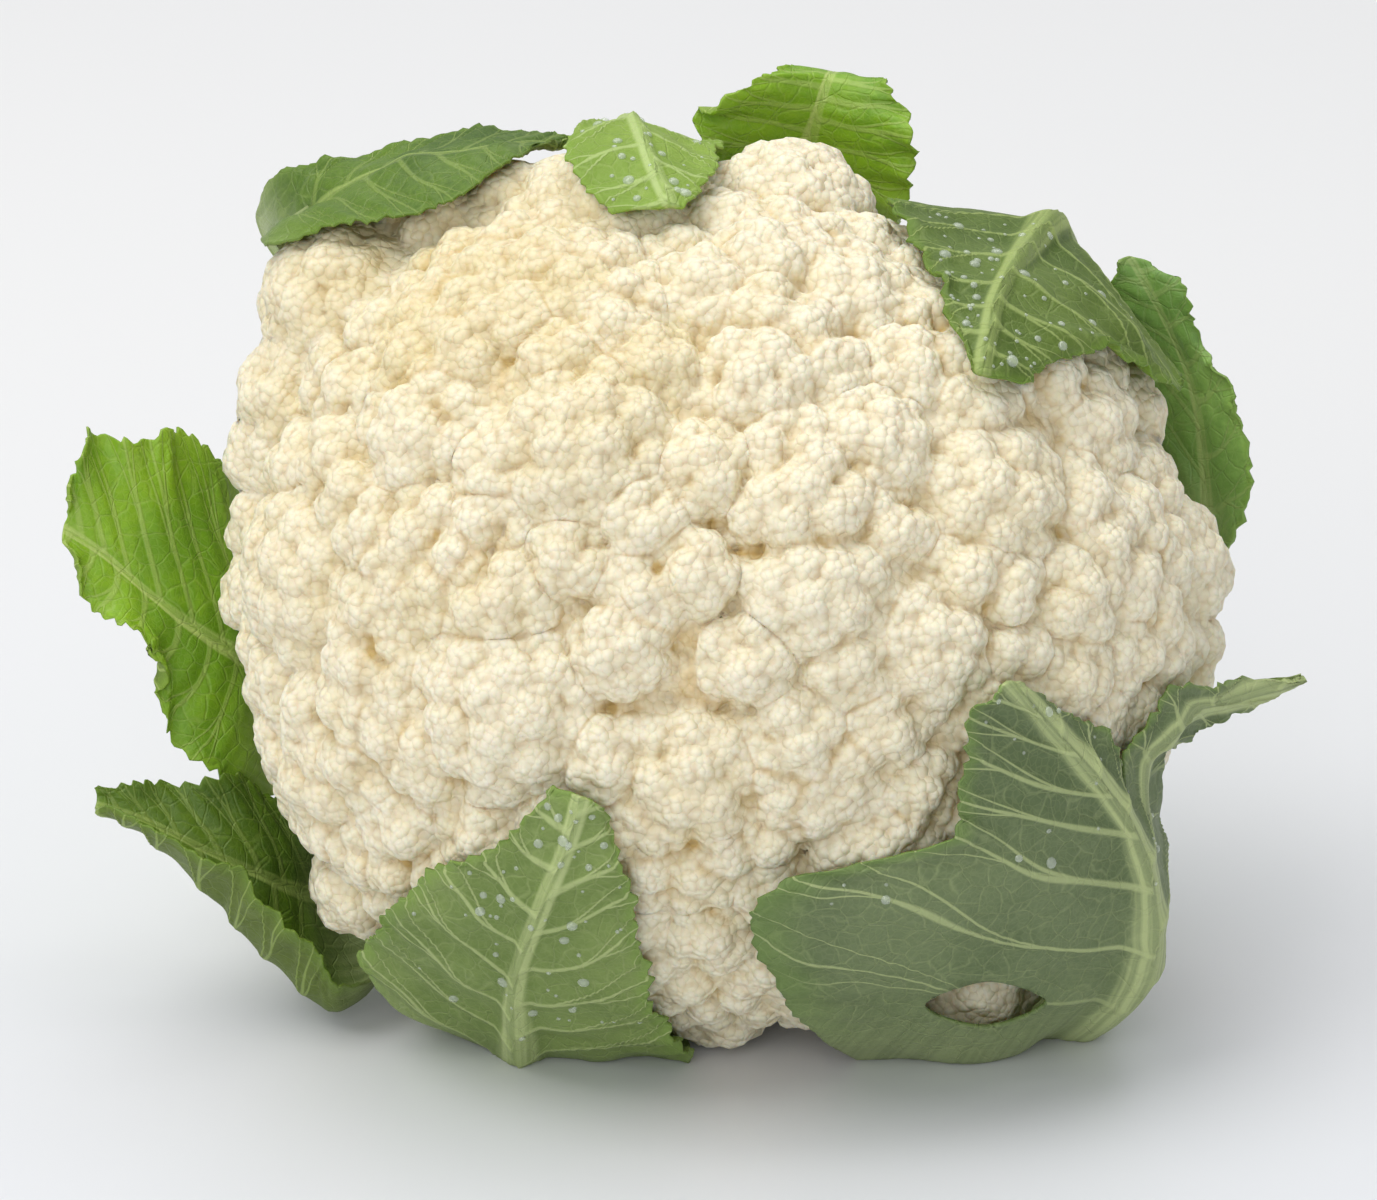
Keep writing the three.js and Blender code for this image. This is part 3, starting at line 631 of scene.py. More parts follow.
leafLooks = {  # colours of the upper face and of the underside, light and dark, and of the veins
    "bright": {
        "upper": ((0.25, 0.45, 0.013), (0.14, 0.30, 0.008)),
        "under": ((0.22, 0.33, 0.05), (0.15, 0.24, 0.03)),
        "vein": (0.46, 0.58, 0.16), "stalk": (0.60, 0.68, 0.36), "rim": (0.26, 0.42, 0.03),
    },
    "dark": {
        "upper": ((0.11, 0.20, 0.012), (0.05, 0.11, 0.006)),
        "under": ((0.105, 0.155, 0.017), (0.075, 0.115, 0.011)),
        "vein": (0.30, 0.40, 0.10), "stalk": (0.56, 0.64, 0.32), "rim": (0.15, 0.26, 0.02),
    },
    # Painted light: the right leaf's colours are made lighter because that leaf lies in shade under these
    # lamps.
    "right": {
        "upper": ((0.26, 0.45, 0.10), (0.145, 0.28, 0.055)),
        "under": ((0.20, 0.31, 0.06), (0.13, 0.22, 0.04)),
        "vein": (0.32, 0.42, 0.14), "stalk": (0.60, 0.68, 0.36), "rim": (0.20, 0.34, 0.05),
    },
    "grey": {
        "upper": ((0.16, 0.28, 0.04), (0.09, 0.18, 0.02)),
        "under": ((0.16, 0.21, 0.09), (0.11, 0.155, 0.062)),
        "vein": (0.46, 0.53, 0.24), "stalk": (0.48, 0.56, 0.26), "rim": (0.17, 0.28, 0.05),
    },
    "front": {
        "upper": ((0.18, 0.31, 0.03), (0.10, 0.20, 0.02)),
        "under": ((0.20, 0.28, 0.07), (0.14, 0.21, 0.045)),
        "vein": (0.46, 0.54, 0.23), "stalk": (0.55, 0.62, 0.33), "rim": (0.20, 0.33, 0.05),
    },
    "folded": {
        "upper": ((0.18, 0.31, 0.03), (0.10, 0.20, 0.02)),
        "under": ((0.115, 0.18, 0.024), (0.072, 0.125, 0.014)),
        "vein": (0.34, 0.43, 0.13), "stalk": (0.55, 0.62, 0.33), "rim": (0.17, 0.29, 0.03),
    },
    "pale": {
        "upper": ((0.27, 0.41, 0.05), (0.20, 0.33, 0.03)),
        "under": ((0.27, 0.40, 0.05), (0.195, 0.315, 0.032)),
        "vein": (0.44, 0.56, 0.20), "stalk": (0.62, 0.70, 0.38), "rim": (0.26, 0.42, 0.06),
    },
}

shortLeaf = {  # the leaves that are hidden behind the head
    "whorl": "inner", "rib": 2.6, "waves": 3, "wave": 0.8, "teeth": 1.4, "ruffle": 0.6, "veins": 4,
    "grid": (70, 61),
}

leaves = [
    {
        "name": "leaf_top_back", "slot": "leaf_bright", "look": "bright", "angle": 80, "whorl": "outer",
        "rib": 3.2, "waves": 4, "wave": 1.4, "teeth": 2.0, "ruffle": 1.3, "veins": 5, "grid": (100, 97),
        "rows": [
            [(-4, 68, -36), (12, 70, -42), (30, 64, -38)],
            [(-5, 81, -24), (15, 81, -30), (33, 73, -25)],
            [(-3, 88, -18), (17, 88, -24), (34, 83, -20)],
            [(7, 94, -18), (19, 94, -24), (31, 90, -20)],
            [(12, 95, -28), (20, 95, -31), (27, 93, -30)],
        ],
    },
    {
        "name": "leaf_top_small", "slot": "leaf_bright", "look": "pale", "angle": 104, "whorl": "inner",
        "rib": 2.2, "waves": 3, "wave": 0.8, "teeth": 1.6, "ruffle": 0.8, "veins": 5, "grid": (90, 71),
        "drops": 34,
        "rows": [
            [(-24, 71, -20), (-17, 77, -24), (-4, 77, -24)],
            [(-25, 78, 5), (-17, 83, -4), (-1, 80, -6)],
            [(-27, 74, 20), (-14, 77, 20), (-2, 77, 18)],
            [(-20, 69, 30), (-10, 69.5, 31), (-7, 70, 30)],
        ],
    },
    {
        "name": "leaf_top_left", "slot": "leaf_dark", "look": "dark", "angle": 140, "whorl": "outer",
        "rib": 2.6, "waves": 3, "wave": 1.0, "teeth": 1.0, "ruffle": 0.6, "veins": 7, "grid": (120, 81),
        "rows": [
            [(-80, 60, -34), (-70, 58, -36), (-54, 76, -34)],
            [(-83, 73, -20), (-78, 62, -16), (-75, 58, 4)],
            [(-77, 78, -15), (-71, 72, -4), (-68, 64, 14)],
            [(-60, 80, -10), (-58, 77, 2), (-57, 69, 18)],
            [(-45, 85, -8), (-45, 80, 4), (-46, 74, 17)],
            [(-33, 84, -12), (-34, 82, -5), (-37, 76, 8)],
            [(-28, 82, -13), (-28, 82, -12), (-29, 81, -9)],
        ],
    },
    {
        **shortLeaf, "name": "leaf_back_left", "slot": "leaf_dark", "look": "dark", "angle": 166,
        "wave": 1.0, "ruffle": 0.8,
        "rows": [
            [(-68, 14, -37), (-67, 27, -38), (-61, 42, -37)],
            [(-76, 14, -31), (-74, 29, -31), (-66, 46, -30)],
            [(-81, 20, -26), (-79, 30, -25), (-74, 42, -25)],
        ],
    },
    {
        "name": "leaf_left", "slot": "leaf_bright", "look": "bright", "angle": 192, "whorl": "outer",
        "rib": 3.4, "waves": 4, "wave": 1.6, "teeth": 2.2, "ruffle": 1.4, "veins": 6, "grid": (130, 111),
        "rows": [
            [(-76, -34, -32), (-76, -15, -36), (-80, 10, -36)],
            [(-87, -35, -20), (-86, -11, -20), (-90, 24, -20)],
            [(-98, -26, -12), (-96, -5, -12), (-99, 30, -10)],
            [(-103, -10, -6), (-105, 2, -7), (-107, 28, -4)],
            [(-113, -3, -3), (-112, 8, -4), (-116, 30, 1)],
            [(-118, 8, -2), (-119, 12.5, -2), (-117, 17, -1)],
        ],
    },
    {
        "name": "leaf_lower_left", "slot": "leaf_dark", "look": "dark", "angle": 222, "whorl": "inner",
        "rib": 3.0, "waves": 4, "wave": 1.0, "teeth": 1.6, "ruffle": 0.9, "veins": 6, "grid": (130, 111),
        "rows": [
            [(-54, -60, -27), (-58, -60, -30), (-66, -52, -34), (-67, -44, -34), (-68, -34, -36)],
            [(-68, -70, -2), (-70, -73, -14), (-75, -53, -22), (-76, -45, -24), (-78, -37, -26)],
            [(-76, -61, 4), (-81, -65, -8), (-83, -50, -14), (-84, -41, -17), (-86, -32, -18)],
            [(-88, -50, 4), (-92, -54, -6), (-94, -45, -10), (-95, -39, -12), (-96, -33, -12)],
            [(-101, -42, 2), (-103, -43, -4), (-104, -40, -8), (-105, -37, -9), (-106, -34, -9)],
            [(-112, -38, -3), (-113, -38, -5), (-113, -37, -6), (-113, -36, -7), (-113, -35, -7)],
        ],
    },
    {
        "name": "leaf_front_left", "slot": "leaf_grey", "look": "front", "angle": 252, "whorl": "outer",
        "rib": 2.4, "waves": 5, "wave": 0.7, "teeth": 1.8, "ruffle": 1.0, "veins": 7, "grid": (150, 121),
        "drops": 60,
        "rows": [
            [(-12, -76, -28), (-32, -76, -32), (-46, -70, -30)],
            [(-6, -79, -4), (-36, -82, -8), (-58, -70, -2)],
            [(-8, -75, 16), (-36, -75, 12), (-65, -64, 10)],
            [(-12, -66, 30), (-35, -64, 28), (-58, -54, 28)],
            [(-15, -55, 42), (-32, -54, 42), (-48, -45, 38)],
            [(-17, -45, 50), (-28, -44, 50), (-37, -40, 46)],
            [(-21, -36, 54), (-25, -34, 55), (-31, -33, 53)],
        ],
    },
    {
        **shortLeaf, "name": "leaf_back_under", "slot": "leaf_grey", "look": "grey", "angle": 286,
        "rows": [
            [(26, -60, -34), (12, -65, -38), (-6, -62, -36)],
            [(26, -70, -26), (12, -73, -27), (-6, -72, -26)],
            [(20, -76, -19), (12, -77, -19), (2, -76, -19)],
        ],
    },
    {
        "name": "leaf_front_right", "slot": "leaf_grey", "look": "grey", "angle": 318, "whorl": "outer",
        "rib": 6.0, "waves": 4, "wave": 0.8, "teeth": 1.8, "ruffle": 0.9, "veins": 6, "grid": (150, 141),
        "drops": 26,
        "rows": [
            [(68, -58, -32), (64, -66, -31), (58, -72, -30), (44, -76, -22), (28, -78, -14)],
            [(72, -64, -12), (70, -70, -8), (65, -74.5, -3), (50, -78, 4), (20, -79, 10)],
            [(76, -58, -2), (77, -63, 6), (74, -66.5, 14), (48, -72, 24), (10, -67, 30)],
            [(78, -48, 6), (78.5, -51, 14), (75, -53.5, 24), (46, -55, 44), (5, -53, 51)],
            [(76, -38, 16), (75, -40, 25), (72, -42, 32), (56, -43, 45), (38, -45, 52)],
            [(68, -26, 34), (67.5, -30, 37), (66, -33, 40), (54, -34, 48), (41, -34, 53)],
            [(61, -21, 43), (60, -22.5, 45), (58, -24, 47), (51, -23, 51), (44, -23, 56)],
            [(52, -15, 53), (51, -15, 54), (50, -15, 55), (49, -15.5, 56), (48, -16, 57)],
        ],
        "lobeVeins": 5, "lobeGrid": (90, 41),
        "lobe": [
            [(77, -54, 8), (76, -56, 14), (74, -57, 19)],
            [(77, -44, 14), (75, -45, 22), (72, -44, 28)],
            [(76, -34, 16), (74, -33, 25), (70, -31, 31)],
            [(79, -28, 17), (75, -26, 25), (69, -24, 30)],
            [(85, -25, 14), (81, -20, 21), (76, -16, 26)],
            [(91, -21, 10), (90, -18, 13), (88, -15.5, 16)],
            [(103, -15, 6), (104, -14, 7), (103, -13.5, 8)],
        ],
        "hole": {
            "x": 45.5, "y": -71.5, "halfWidth": 11.0, "halfHeight": 4.6, "power": 1.5,
            "from": 4.0,  # the sheet is pierced only in front of this depth
            "dryBelow": -64,  # no drops lower than this
        },
    },
    {
        **shortLeaf, "name": "leaf_back_right", "slot": "leaf_grey", "look": "grey", "angle": 344,
        "rows": [
            [(68, -8, -38), (66, -24, -39), (58, -40, -38)],
            [(74, -8, -33), (72, -26, -33), (64, -42, -33)],
            [(77, -14, -28), (76, -26, -28), (70, -36, -28)],
        ],
    },
    {
        "name": "leaf_right", "slot": "leaf_dark", "look": "right", "angle": 8, "whorl": "outer",
        "rib": 2.6, "waves": 4, "wave": 1.2, "teeth": 1.8, "ruffle": 1.0, "veins": 6, "grid": (120, 81),
        "rows": [
            [(70, 16, -38), (77, 4, -38), (78, -8, -36)],
            [(74, 26, -34), (86, 12, -26), (89, 5, -24)],
            [(73, 36, -32), (86, 26, -24), (94, 17, -16)],
            [(74, 44, -28), (84, 38, -22), (92, 36, -16)],
            [(74, 49, -24), (80, 48, -20), (86, 45, -16)],
            [(70, 55, -20), (76, 56, -18), (83, 56, -16)],
            [(71, 60, -18), (73, 61.5, -18), (78, 60, -18)],
        ],
    },
    {
        "name": "leaf_upper_right", "slot": "leaf_bright", "look": "folded", "angle": 48, "whorl": "inner",
        "rib": 2.4, "waves": 4, "wave": 0.9, "teeth": 1.8, "ruffle": 1.1, "veins": 6, "grid": (120, 111),
        "drops": 80,
        "rows": [
            [(38, 64, -24), (57, 57, -26), (70, 45, -24)],
            [(30, 69, -4), (58, 66, -6), (77, 44, -6)],
            [(28, 66, 14), (52, 60, 14), (81, 37, 10)],
            [(33, 58, 28), (47, 53, 32), (72, 42.5, 24)],
            [(37, 50, 38), (45, 46, 41), (60, 42, 36)],
            [(42, 42, 46), (45, 39, 48), (52, 38, 44)],
        ],
    },
]


def splineWeights(count, shares):
    # How much each of a smooth line's points counts at shares of the way along it.
    weights = np.zeros((len(shares), count))
    for row, share in enumerate(shares):
        spot = min(max(float(share), 0.0), 1.0) * (count - 1)
        first = min(int(spot), count - 2)
        t = spot - first
        amounts = (-0.5 * t ** 3 + t ** 2 - 0.5 * t, 1.5 * t ** 3 - 2.5 * t ** 2 + 1,
                   -1.5 * t ** 3 + 2 * t ** 2 + 0.5 * t, 0.5 * t ** 3 - 0.5 * t ** 2)
        for point, amount in zip(range(first - 1, first + 3), amounts):
            if point < 0:
                weights[row, 0] += 2 * amount
                weights[row, 1] -= amount
            elif point >= count:
                weights[row, -1] += 2 * amount
                weights[row, -2] -= amount
            else:
                weights[row, point] += amount
    return weights


def finer(net, rowShares, columnShares):
    alongNet = splineWeights(net.shape[0], rowShares)
    acrossNet = splineWeights(net.shape[1], columnShares)
    return np.einsum("ir,jc,rcd->ijd", alongNet, acrossNet, net)


def sheetNormals(points):
    return unit(np.cross(np.gradient(points, axis=0), np.gradient(points, axis=1)))


def softened(values):
    # Every value as the mean of its neighbours along and across.
    wide = np.pad(values, 1, mode="edge")
    return (wide[:-2, 1:-1] + wide[2:, 1:-1] + wide[1:-1, :-2] + wide[1:-1, 2:]) / 4


def stalkRows(leaf, width):
    # A leaf's first two rows: its stalk leaves the stem and follows the back of the curd.
    whorl = growth[leaf["whorl"]]
    turn = math.radians(leaf["angle"])
    out = np.array([math.cos(turn), math.sin(turn), 0.0])
    across = np.array([-math.sin(turn), math.cos(turn), 0.0])
    root = out * (stem["radius"] - growth["rootSunk"]) + stemAxis * whorl["along"]
    bend = out * growth["bendOut"]
    ring = growth["bendOut"] / (curd["width"] / 2 - growth["bendInset"])
    bend[2] = -curd["back"] * math.sqrt(1 - ring ** 2) - whorl["clear"] - growth["bendGap"]
    line = np.linspace(1, -1, width)[:, None]
    low, high = growth["stalkHalves"]
    return np.stack([root + low * line * across, bend + high * line * across])


def toothLine(way, pitch, seed):
    # Uneven teeth along an edge, leaning towards the tip.
    rng = np.random.default_rng(seed)
    steps = rng.uniform(0.55, 1.5, int(way[-1] / pitch * 2) + 6) * pitch
    marks = np.concatenate([[-1.0], np.cumsum(steps)])
    sizes = rng.uniform(0.35, 1.0, len(marks))
    after = np.searchsorted(marks, way, side="right")
    share = (way - marks[after - 1]) / (marks[after] - marks[after - 1])
    return sizes[after] * np.where(share < 0.72, share / 0.72, (1 - share) / 0.28) - 0.4


veins = {
    "forks": ((0.32, 0.62), (0.62, -0.8)),  # where a fork leaves its side vein, and how fast it strays
    "wide": 0.58, "narrow": 0.2,  # half widths at the midrib and at the rim
    "rise": 0.15,  # how far a side vein climbs towards the tip
}


def veinAway(number, across, pitch):
    # How many half widths a place lies from the nearest side vein or fork. Side veins run where
    # the number is whole. It works on arrays of numbers and, in a finish, on wires.
    vein = whole(number)
    off = number - vein
    edge = absolute(across)
    nearest = absolute(off)
    for start, slope in veins["forks"]:
        past = edge - (start + sine(vein * 2.4 + slope) * 0.12)
        away = absolute(off - larger(past, 0) * slope) * 1.7 + larger(past * -1, 0) * 9
        nearest = smaller(nearest, away)
    return nearest * pitch / (veins["wide"] + edge * (veins["narrow"] - veins["wide"]))


def onSheet(points, along, across):
    # Points of a sheet at shares of the way along it and across it, from -1 to 1.
    rows, columns = points.shape[:2]
    i = np.clip(along, 0, 1) * (rows - 1)
    j = np.clip((across + 1) / 2, 0, 1) * (columns - 1)
    a, b = np.minimum(i.astype(int), rows - 2), np.minimum(j.astype(int), columns - 2)
    s, t = (i - a)[:, None], (j - b)[:, None]
    low = points[a, b] * (1 - t) + points[a, b + 1] * t
    high = points[a + 1, b] * (1 - t) + points[a + 1, b + 1] * t
    return low * (1 - s) + high * s


def bladeSheet(net, leaf, stalk, grid, first, seed):
    # A leaf blade: its two faces, and what is painted on them.
    steps = 2 * len(net) + 2
    line = np.linspace(0, 1, growth["across"])
    rows = np.linspace(0, 1, steps + 1)
    control = finer(net, rows, line)
    side = 2 * line - 1
    isBlade = smooth(rows, 0.3, 0.55)[:, None]
    ripple = np.sin(rows[:, None] * leaf["waves"] * math.pi * 2 + np.sign(side)) * side ** 2
    control = control + sheetNormals(control) * (isBlade * leaf["wave"] * ripple)[..., None]
    length = np.linalg.norm(control, axis=-1)
    direction = control / length[..., None]
    reach = curdReach(direction.reshape(-1, 3)).reshape(length.shape)
    push = np.maximum(reach + growth["clearance"] - length, 0)
    for _ in range(4):
        push = np.maximum(push, 0.97 * softened(push))
    control = control + direction * push[..., None]

    rows, line = np.linspace(0, 1, grid[0]), np.linspace(0, 1, grid[1])
    points = finer(control, rows, line)
    side = 2 * line - 1
    isBlade = smooth(rows, 0.3, 0.5)
    normal = sheetNormals(points)
    for column, inside, where in ((0, 8, side < 0), (-1, -9, side > 0)):
        edge = points[:, column]
        way = np.concatenate([[0], np.cumsum(np.linalg.norm(np.diff(edge, axis=0), axis=1))])
        outward = unit(edge - points[:, inside])
        teeth = toothLine(way, growth["toothPitch"], seed + column)
        teeth = teeth + 0.5 * np.sin(way / 4.1 + seed) * np.sin(way / 9.7)
        rim = smooth(np.abs(side), 0.72, 1) * where
        points = points + (isBlade * leaf["teeth"] * teeth)[:, None, None] * rim[:, None] * outward[:, None]
        frill = np.sin(way / 1.9 + 1.5 * np.sin(way / 7.3 + seed)) * (0.6 + 0.4 * np.sin(way / 11 + seed))
        frill = (isBlade * leaf["ruffle"] * frill)[:, None] * (smooth(np.abs(side), 0.5, 1) ** 1.5 * where)
        points = points + normal * frill[..., None]

    gaps = np.linalg.norm(np.diff(points, axis=1), axis=2)
    run = np.concatenate([np.zeros((len(rows), 1)), np.cumsum(gaps, 1)], 1)
    off = np.abs(run - run[:, grid[1] // 2][:, None])
    ribHalf = (stalk + (leaf["rib"] * 0.5 - stalk) * np.minimum(1, rows * 1.5) + 0.6)[:, None]
    ribHeight = (stalk * 0.95 + (0.8 - stalk * 0.95) * np.minimum(1, rows ** 0.8 * 1.25))[:, None]
    ribShare = np.clip(off / (growth["ribSpread"] * ribHalf), 0, 1)
    ridge = (0.5 + 0.5 * np.cos(math.pi * ribShare)) ** 0.8

    # Side veins, numbered from the base to the tip, those of the two halves half a step apart.
    edge = np.abs(side)
    step = (0.95 - first) / leaf["veins"]
    number = (rows[:, None] - first - veins["rise"] * edge ** 1.2 * (1.25 - rows[:, None])) / step
    number = number + 0.25 * np.sign(side)
    number = number + 0.16 * lumps(points, 24, seed + 2) + 0.05 * lumps(points, 7, seed + 3)
    pitch = 0.8 * step * (len(rows) - 1) * np.linalg.norm(np.gradient(points, axis=0), axis=2)
    shown = smooth(number, -0.45, -0.2) * isBlade[:, None]
    away = veinAway(number, side[None], pitch)
    vein = np.exp(-((away / 1.9) ** 2)) * shown
    puff = (1 - np.exp(-((np.minimum(away * 0.45, off) / 3.0) ** 2))) * isBlade[:, None]
    crinkle = lumps(points, 7, seed) * 0.25 + lumps(points, 3.4, seed + 1) * 0.1
    points = points - normal * (puff * 0.45 + crinkle * puff)[..., None]

    rim = np.maximum(smooth(edge, 0.85, 1)[None], smooth(rows, 0.97, 1)[:, None]) * isBlade[:, None]
    thick = growth["blade"] + (growth["rimBlade"] - growth["blade"]) * rim
    thin = veins["wide"] + edge * (veins["narrow"] - veins["wide"])
    outer = points + normal * (thick + ribHeight * ridge + 0.9 * thin * vein)[..., None]
    inner = points + normal * (0.3 * ridge + 0.15 * vein)[..., None]
    flat = np.zeros_like(off)
    painted = {
        "veinNumber": number, "across": flat + side, "pitch": pitch, "shown": shown,
        "ribAway": run - run[:, grid[1] // 2][:, None], "ribHalf": flat + ribHalf,
        "stalk": flat + (1 - smooth(rows, 0.2, 0.5))[:, None], "rim": rim,
    }
    return {"inner": pressUp(inner, growth["blade"]), "outer": pressUp(outer, 0.0), "painted": painted}


def closedSheet(sheet, hole=None):
    # The two faces of a blade, walled along every edge: points, quads and painted values.
    rows, columns = sheet["outer"].shape[:2]
    inner, outer = sheet["inner"].reshape(-1, 3), sheet["outer"].reshape(-1, 3)
    first = (np.arange(rows - 1)[:, None] * columns + np.arange(columns - 1)).ravel()
    quads = np.stack([first, first + columns, first + columns + 1, first + 1], 1)
    if hole:
        halves, power = np.array([hole["halfWidth"], hole["halfHeight"]]), hole["power"]
        off = (outer[:, :2] - np.array([hole["x"], hole["y"]])) / halves
        reach = (np.abs(off) ** power).sum(1) ** (1 / power)
        inside = (reach < 1) & (outer[:, 2] > hole["from"])
        quads = quads[~inside[quads].all(1)]
        edge = np.zeros(len(outer), bool)
        edge[quads[inside[quads].any(1)].ravel()] = True
        move = ((edge & inside) * (1 / np.maximum(reach, 0.2) - 1))[:, None] * (off * halves)
        inner, outer = inner.copy(), outer.copy()
        inner[:, :2] += move
        outer[:, :2] += move
    edges = np.concatenate([quads[:, [k, (k + 1) % 4]] for k in range(4)])
    names = {(a, b) for a, b in edges.tolist()}
    border = np.array([(a, b) for a, b in edges.tolist() if (b, a) not in names])
    count = rows * columns
    walls = np.stack([border[:, 1], border[:, 0], border[:, 0] + count, border[:, 1] + count], 1)
    faces = np.concatenate([quads, quads[:, ::-1] + count, walls])
    painted = {key: np.tile(values.ravel(), 2) for key, values in sheet["painted"].items()}
    painted["underside"] = np.repeat([1.0, 0.0], count)
    return np.concatenate([outer, inner]), faces, painted


def leafFinish(look):
    colours = leafLooks[look]
    finish = Finish("leafSkin_" + look)
    spot = finish.spot()
    under, stalk, rim = finish.painted("underside"), finish.painted("stalk"), finish.painted("rim")
    away = veinAway(finish.painted("veinNumber"), finish.painted("across"), finish.painted("pitch"))
    vein = (1 - away.between(0.5, 1.5)) * finish.painted("shown")
    ribAway, ribHalf = finish.painted("ribAway"), finish.painted("ribHalf")
    ribShare = absolute(ribAway) / (ribHalf * (0.45 + under * 0.5))
    rib = 1 - ribShare.between(0.7, 1.15)
    bent = finish.moved(spot, finish.stretched(finish.noise(spot, 120, 2, out="Color"), 0.004))
    # Two nets of the finest veins, and a cloudy tone.
    lace = 1 - finish.cells(bent, 240, "DISTANCE_TO_EDGE").between(0.0, 0.07)
    fine = 1 - finish.cells(bent, 800, "DISTANCE_TO_EDGE").between(0.0, 0.16)
    cloud = finish.noise(spot, 38, 3)
    speck = finish.noise(spot, 600, 3)
    shade = (cloud * 0.75 + speck * 0.25).between(0.36, 0.64)
    upper, lower = finish.blend(shade, *colours["upper"]), finish.blend(shade, *colours["under"])
    colour = finish.blend(under, upper, lower)
    colour = finish.blend(lace * 0.16 + fine * 0.08, colour, colours["vein"])
    colour = finish.blend(rim * 0.5, colour, colours["rim"])
    colour = finish.blend(vein * (0.4 + under * 0.3), colour, colours["vein"])
    values = {0: ribAway * 0.9, 1: finish.painted("veinNumber") * 0.12}
    across = finish.node("ShaderNodeCombineXYZ", {}, values)
    streak = finish.noise(across, 0.8, 2).between(0.38, 0.6)
    colour = finish.blend(rib * (0.4 + streak * 0.55), colour, colours["vein"])
    colour = finish.blend(smaller(stalk * (0.6 + streak * 0.35), 1.0), colour, colours["stalk"])
    height = lace * -0.5 + fine * -0.15 + speck * 0.35 + vein * 0.6
    return finish.surface({
        "Base Color": colour, "Roughness": 0.4 + shade * 0.12 + under * 0.12,
        "Specular IOR Level": 0.38, "Coat Weight": 0.05, "Coat Roughness": 0.3,
        "Subsurface Weight": 0.06, "Subsurface Radius": (0.6, 1.0, 0.2), "Subsurface Scale": 0.0015,
        "Normal": finish.raised(height, 0.0003, 0.7),
    })


def waterFinish():
    return Finish("waterDrops").surface({
        "Base Color": (0.72, 0.80, 0.66, 1.0), "Roughness": 0.03, "IOR": 1.8, "Alpha": 0.4,
        "Coat Weight": 1.0, "Coat Roughness": 0.02,
    })


drops = {
    "rings": 5, "sides": 12, "small": 0.35, "large": 1.25, "height": 0.62, "sunk": 0.25,
    "along": (0.5, 0.97), "across": (-0.88, 0.88), "aboveTable": 1.5,  # where on a leaf they may stand
}


def makeDrops(leaf, sheet, water, seed):
    # Drops of water that stand on a leaf's underside, mostly small ones.
    rng = np.random.default_rng(seed)
    outer = sheet["outer"]
    up = sheetNormals(outer)
    sides, rings, height = drops["sides"], drops["rings"], drops["height"]
    points, faces = [], []
    rise = np.linspace(0, math.pi / 2, rings + 1)[:-1]
    turn = np.linspace(0, 2 * math.pi, sides, endpoint=False)
    for _ in range(leaf["drops"]):
        along, across = rng.uniform(*drops["along"]), rng.uniform(*drops["across"])
        radius = drops["small"] + (drops["large"] - drops["small"]) * rng.random() ** 3
        centre = onSheet(outer, np.array([along]), np.array([across]))[0]
        normal = unit(onSheet(up, np.array([along]), np.array([across]))[0])
        low = pressUp(centre, drops["aboveTable"])[2] != centre[2]
        if low or "hole" in leaf and centre[1] < leaf["hole"]["dryBelow"]:
            continue
        side = unit(np.cross(normal, (0.3, 0.1, 1.0)))
        ring = np.cos(turn)[:, None] * side + np.sin(turn)[:, None] * np.cross(normal, side)
        rounds = [centre + radius * (math.cos(r) * ring + height * math.sin(r) * normal) for r in rise]
        rounds[0] = rounds[0] - drops["sunk"] * normal
        base = len(points)
        top, bottom = base + sides * rings, base + sides * rings + 1
        points += [point for row in rounds for point in row]
        points += [centre + radius * height * normal, centre - drops["sunk"] * normal]
        for k in range(sides):
            after = (k + 1) % sides
            for r in range(rings - 1):
                one, two = base + r * sides, base + (r + 1) * sides
                faces += [(one + k, one + after, two + after), (one + k, two + after, two + k)]
            last = base + (rings - 1) * sides
            faces += [(last + k, last + after, top), (base + after, base + k, bottom)]
    made = meshObject(leaf["name"] + "_drops", np.array(points), faces, water)
    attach(made, "root")


def makeLeaf(leaf, finish, water, seed):
    rows = seen(leaf["rows"])
    net = np.concatenate([stalkRows(leaf, rows.shape[1]), rows])
    stalk = growth[leaf["whorl"]]["stalk"]
    sheet = bladeSheet(net, leaf, stalk, leaf["grid"], growth["veinsFrom"], seed)
    points, faces, painted = closedSheet(sheet, leaf.get("hole"))
    if "lobe" in leaf:
        lobe = {**leaf, "veins": leaf["lobeVeins"]}
        lobe = bladeSheet(seen(leaf["lobe"]), lobe, 1.0, leaf["lobeGrid"], 0.1, seed + 50)
        morePoints, moreFaces, morePainted = closedSheet(lobe)
        morePainted["stalk"] = morePainted["stalk"] * 0
        faces = np.concatenate([faces, moreFaces + len(points)])
        points = np.concatenate([points, morePoints])
        painted = {key: np.concatenate([painted[key], morePainted[key]]) for key in painted}
    made = meshObject(leaf["name"] + "_blade", points, faces, finish, painted)
    place(made, leaf["name"])
    if "drops" in leaf:
        makeDrops(leaf, sheet, water, seed + 90)


leafFinishes = {look: leafFinish(look) for look in leafLooks}
dropsFinish = waterFinish()
for number, leaf in enumerate(leaves):
    makeLeaf(leaf, leafFinishes[leaf["look"]], dropsFinish, 100 + 7 * number)
report("leaves")


# The camera stands where the photograph was taken from: 0.9 m off, looking 20 degrees down.
cameraSetup = {
    "distance": 900.0, "down": 20.0, "focal": 130.7, "sensor": 36.0,
    "look": (-6.6, 0.0, -0.5),  # from the head's centre to what it looks at
}


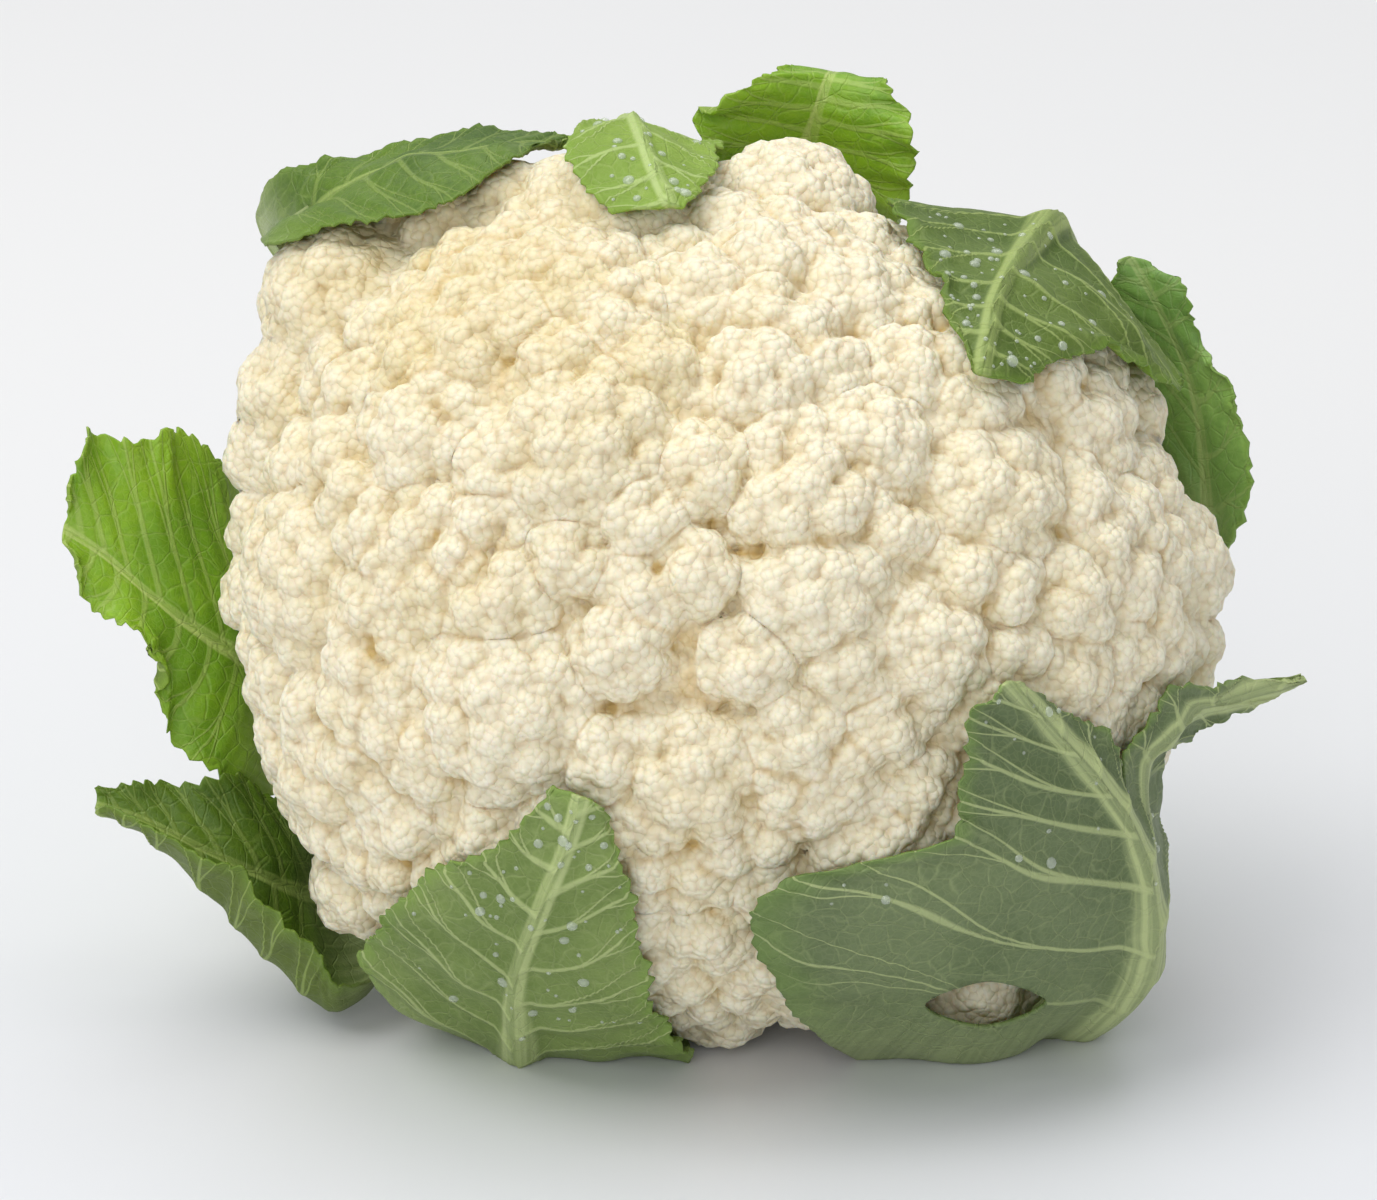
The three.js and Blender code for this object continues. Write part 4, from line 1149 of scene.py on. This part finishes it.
def makeCamera():
    target = (Vector(head["seat"]) + Vector(cameraSetup["look"])) / 1000
    down = math.radians(cameraSetup["down"])
    away = Vector((0, -math.cos(down), math.sin(down))) * cameraSetup["distance"] / 1000
    data = bpy.data.cameras.new("viewer")
    data.lens = cameraSetup["focal"]
    data.sensor_width = cameraSetup["sensor"]
    camera = bpy.data.objects.new("viewer", data)
    camera.location = target + away
    camera.rotation_euler = (-away).to_track_quat("-Z", "Y").to_euler()
    bpy.context.scene.collection.objects.link(camera)
    bpy.context.scene.camera = camera


studio = {
    # The floor is painted lighter towards the back, painted light that stands in for the lamps' light
    # there, and is bluer at the front.
    "floor": (0.72, 0.735, 0.77), "floorFarLit": (0.81, 0.81, 0.81),
    "lamps": [  # name, place, width, power and colour
        ("key", (-1.3, -0.5, 2.6), 2.0, 38.0, (1.0, 0.98, 0.95)),
        ("top", (0.2, 0.9, 2.8), 2.6, 32.0, (1.0, 1.0, 1.0)),
        ("fill", (-0.7, -3.0, 1.6), 2.4, 33.0, (0.98, 0.98, 1.0)),
    ],
    "sky": (0.95, 0.97, 1.0), "skyStrength": 0.47,
}


def makeStudio():
    finish = Finish("floorPaper")
    # Painted light: the floor's colour turns lighter towards the back.
    farLightShare = finish.node("ShaderNodeSeparateXYZ", {}, {0: finish.spot()}, out="Y").between(-0.3, 0.5)
    colour = finish.blend(farLightShare, studio["floor"], studio["floorFarLit"])
    material = finish.surface({"Base Color": colour, "Roughness": 0.4, "Specular IOR Level": 0.3})
    corners = np.array([(-6, -4, 0), (6, -4, 0), (6, 8, 0), (-6, 8, 0)], float)
    floor = meshObject("studioFloor", corners, [(0, 1, 2, 3)], material, metres=True)
    for name, spot, width, power, colour in studio["lamps"]:
        data = bpy.data.lights.new(name, "AREA")
        data.shape = "DISK"
        data.size, data.energy, data.color = width, power, colour
        lamp = bpy.data.objects.new(name, data)
        lamp.location = spot
        lamp.rotation_euler = (Vector((0, 0, 0.06)) - Vector(spot)).to_track_quat("-Z", "Y").to_euler()
        bpy.context.scene.collection.objects.link(lamp)
    world = bpy.data.worlds.new("studioAir")
    world.use_nodes = True
    sky = world.node_tree.nodes["Background"]
    sky.inputs["Color"].default_value = (*studio["sky"], 1)
    sky.inputs["Strength"].default_value = studio["skyStrength"]
    bpy.context.scene.world = world
    bpy.context.scene.view_settings.view_transform = "Standard"


makeCamera()
makeStudio()
report("camera and studio")
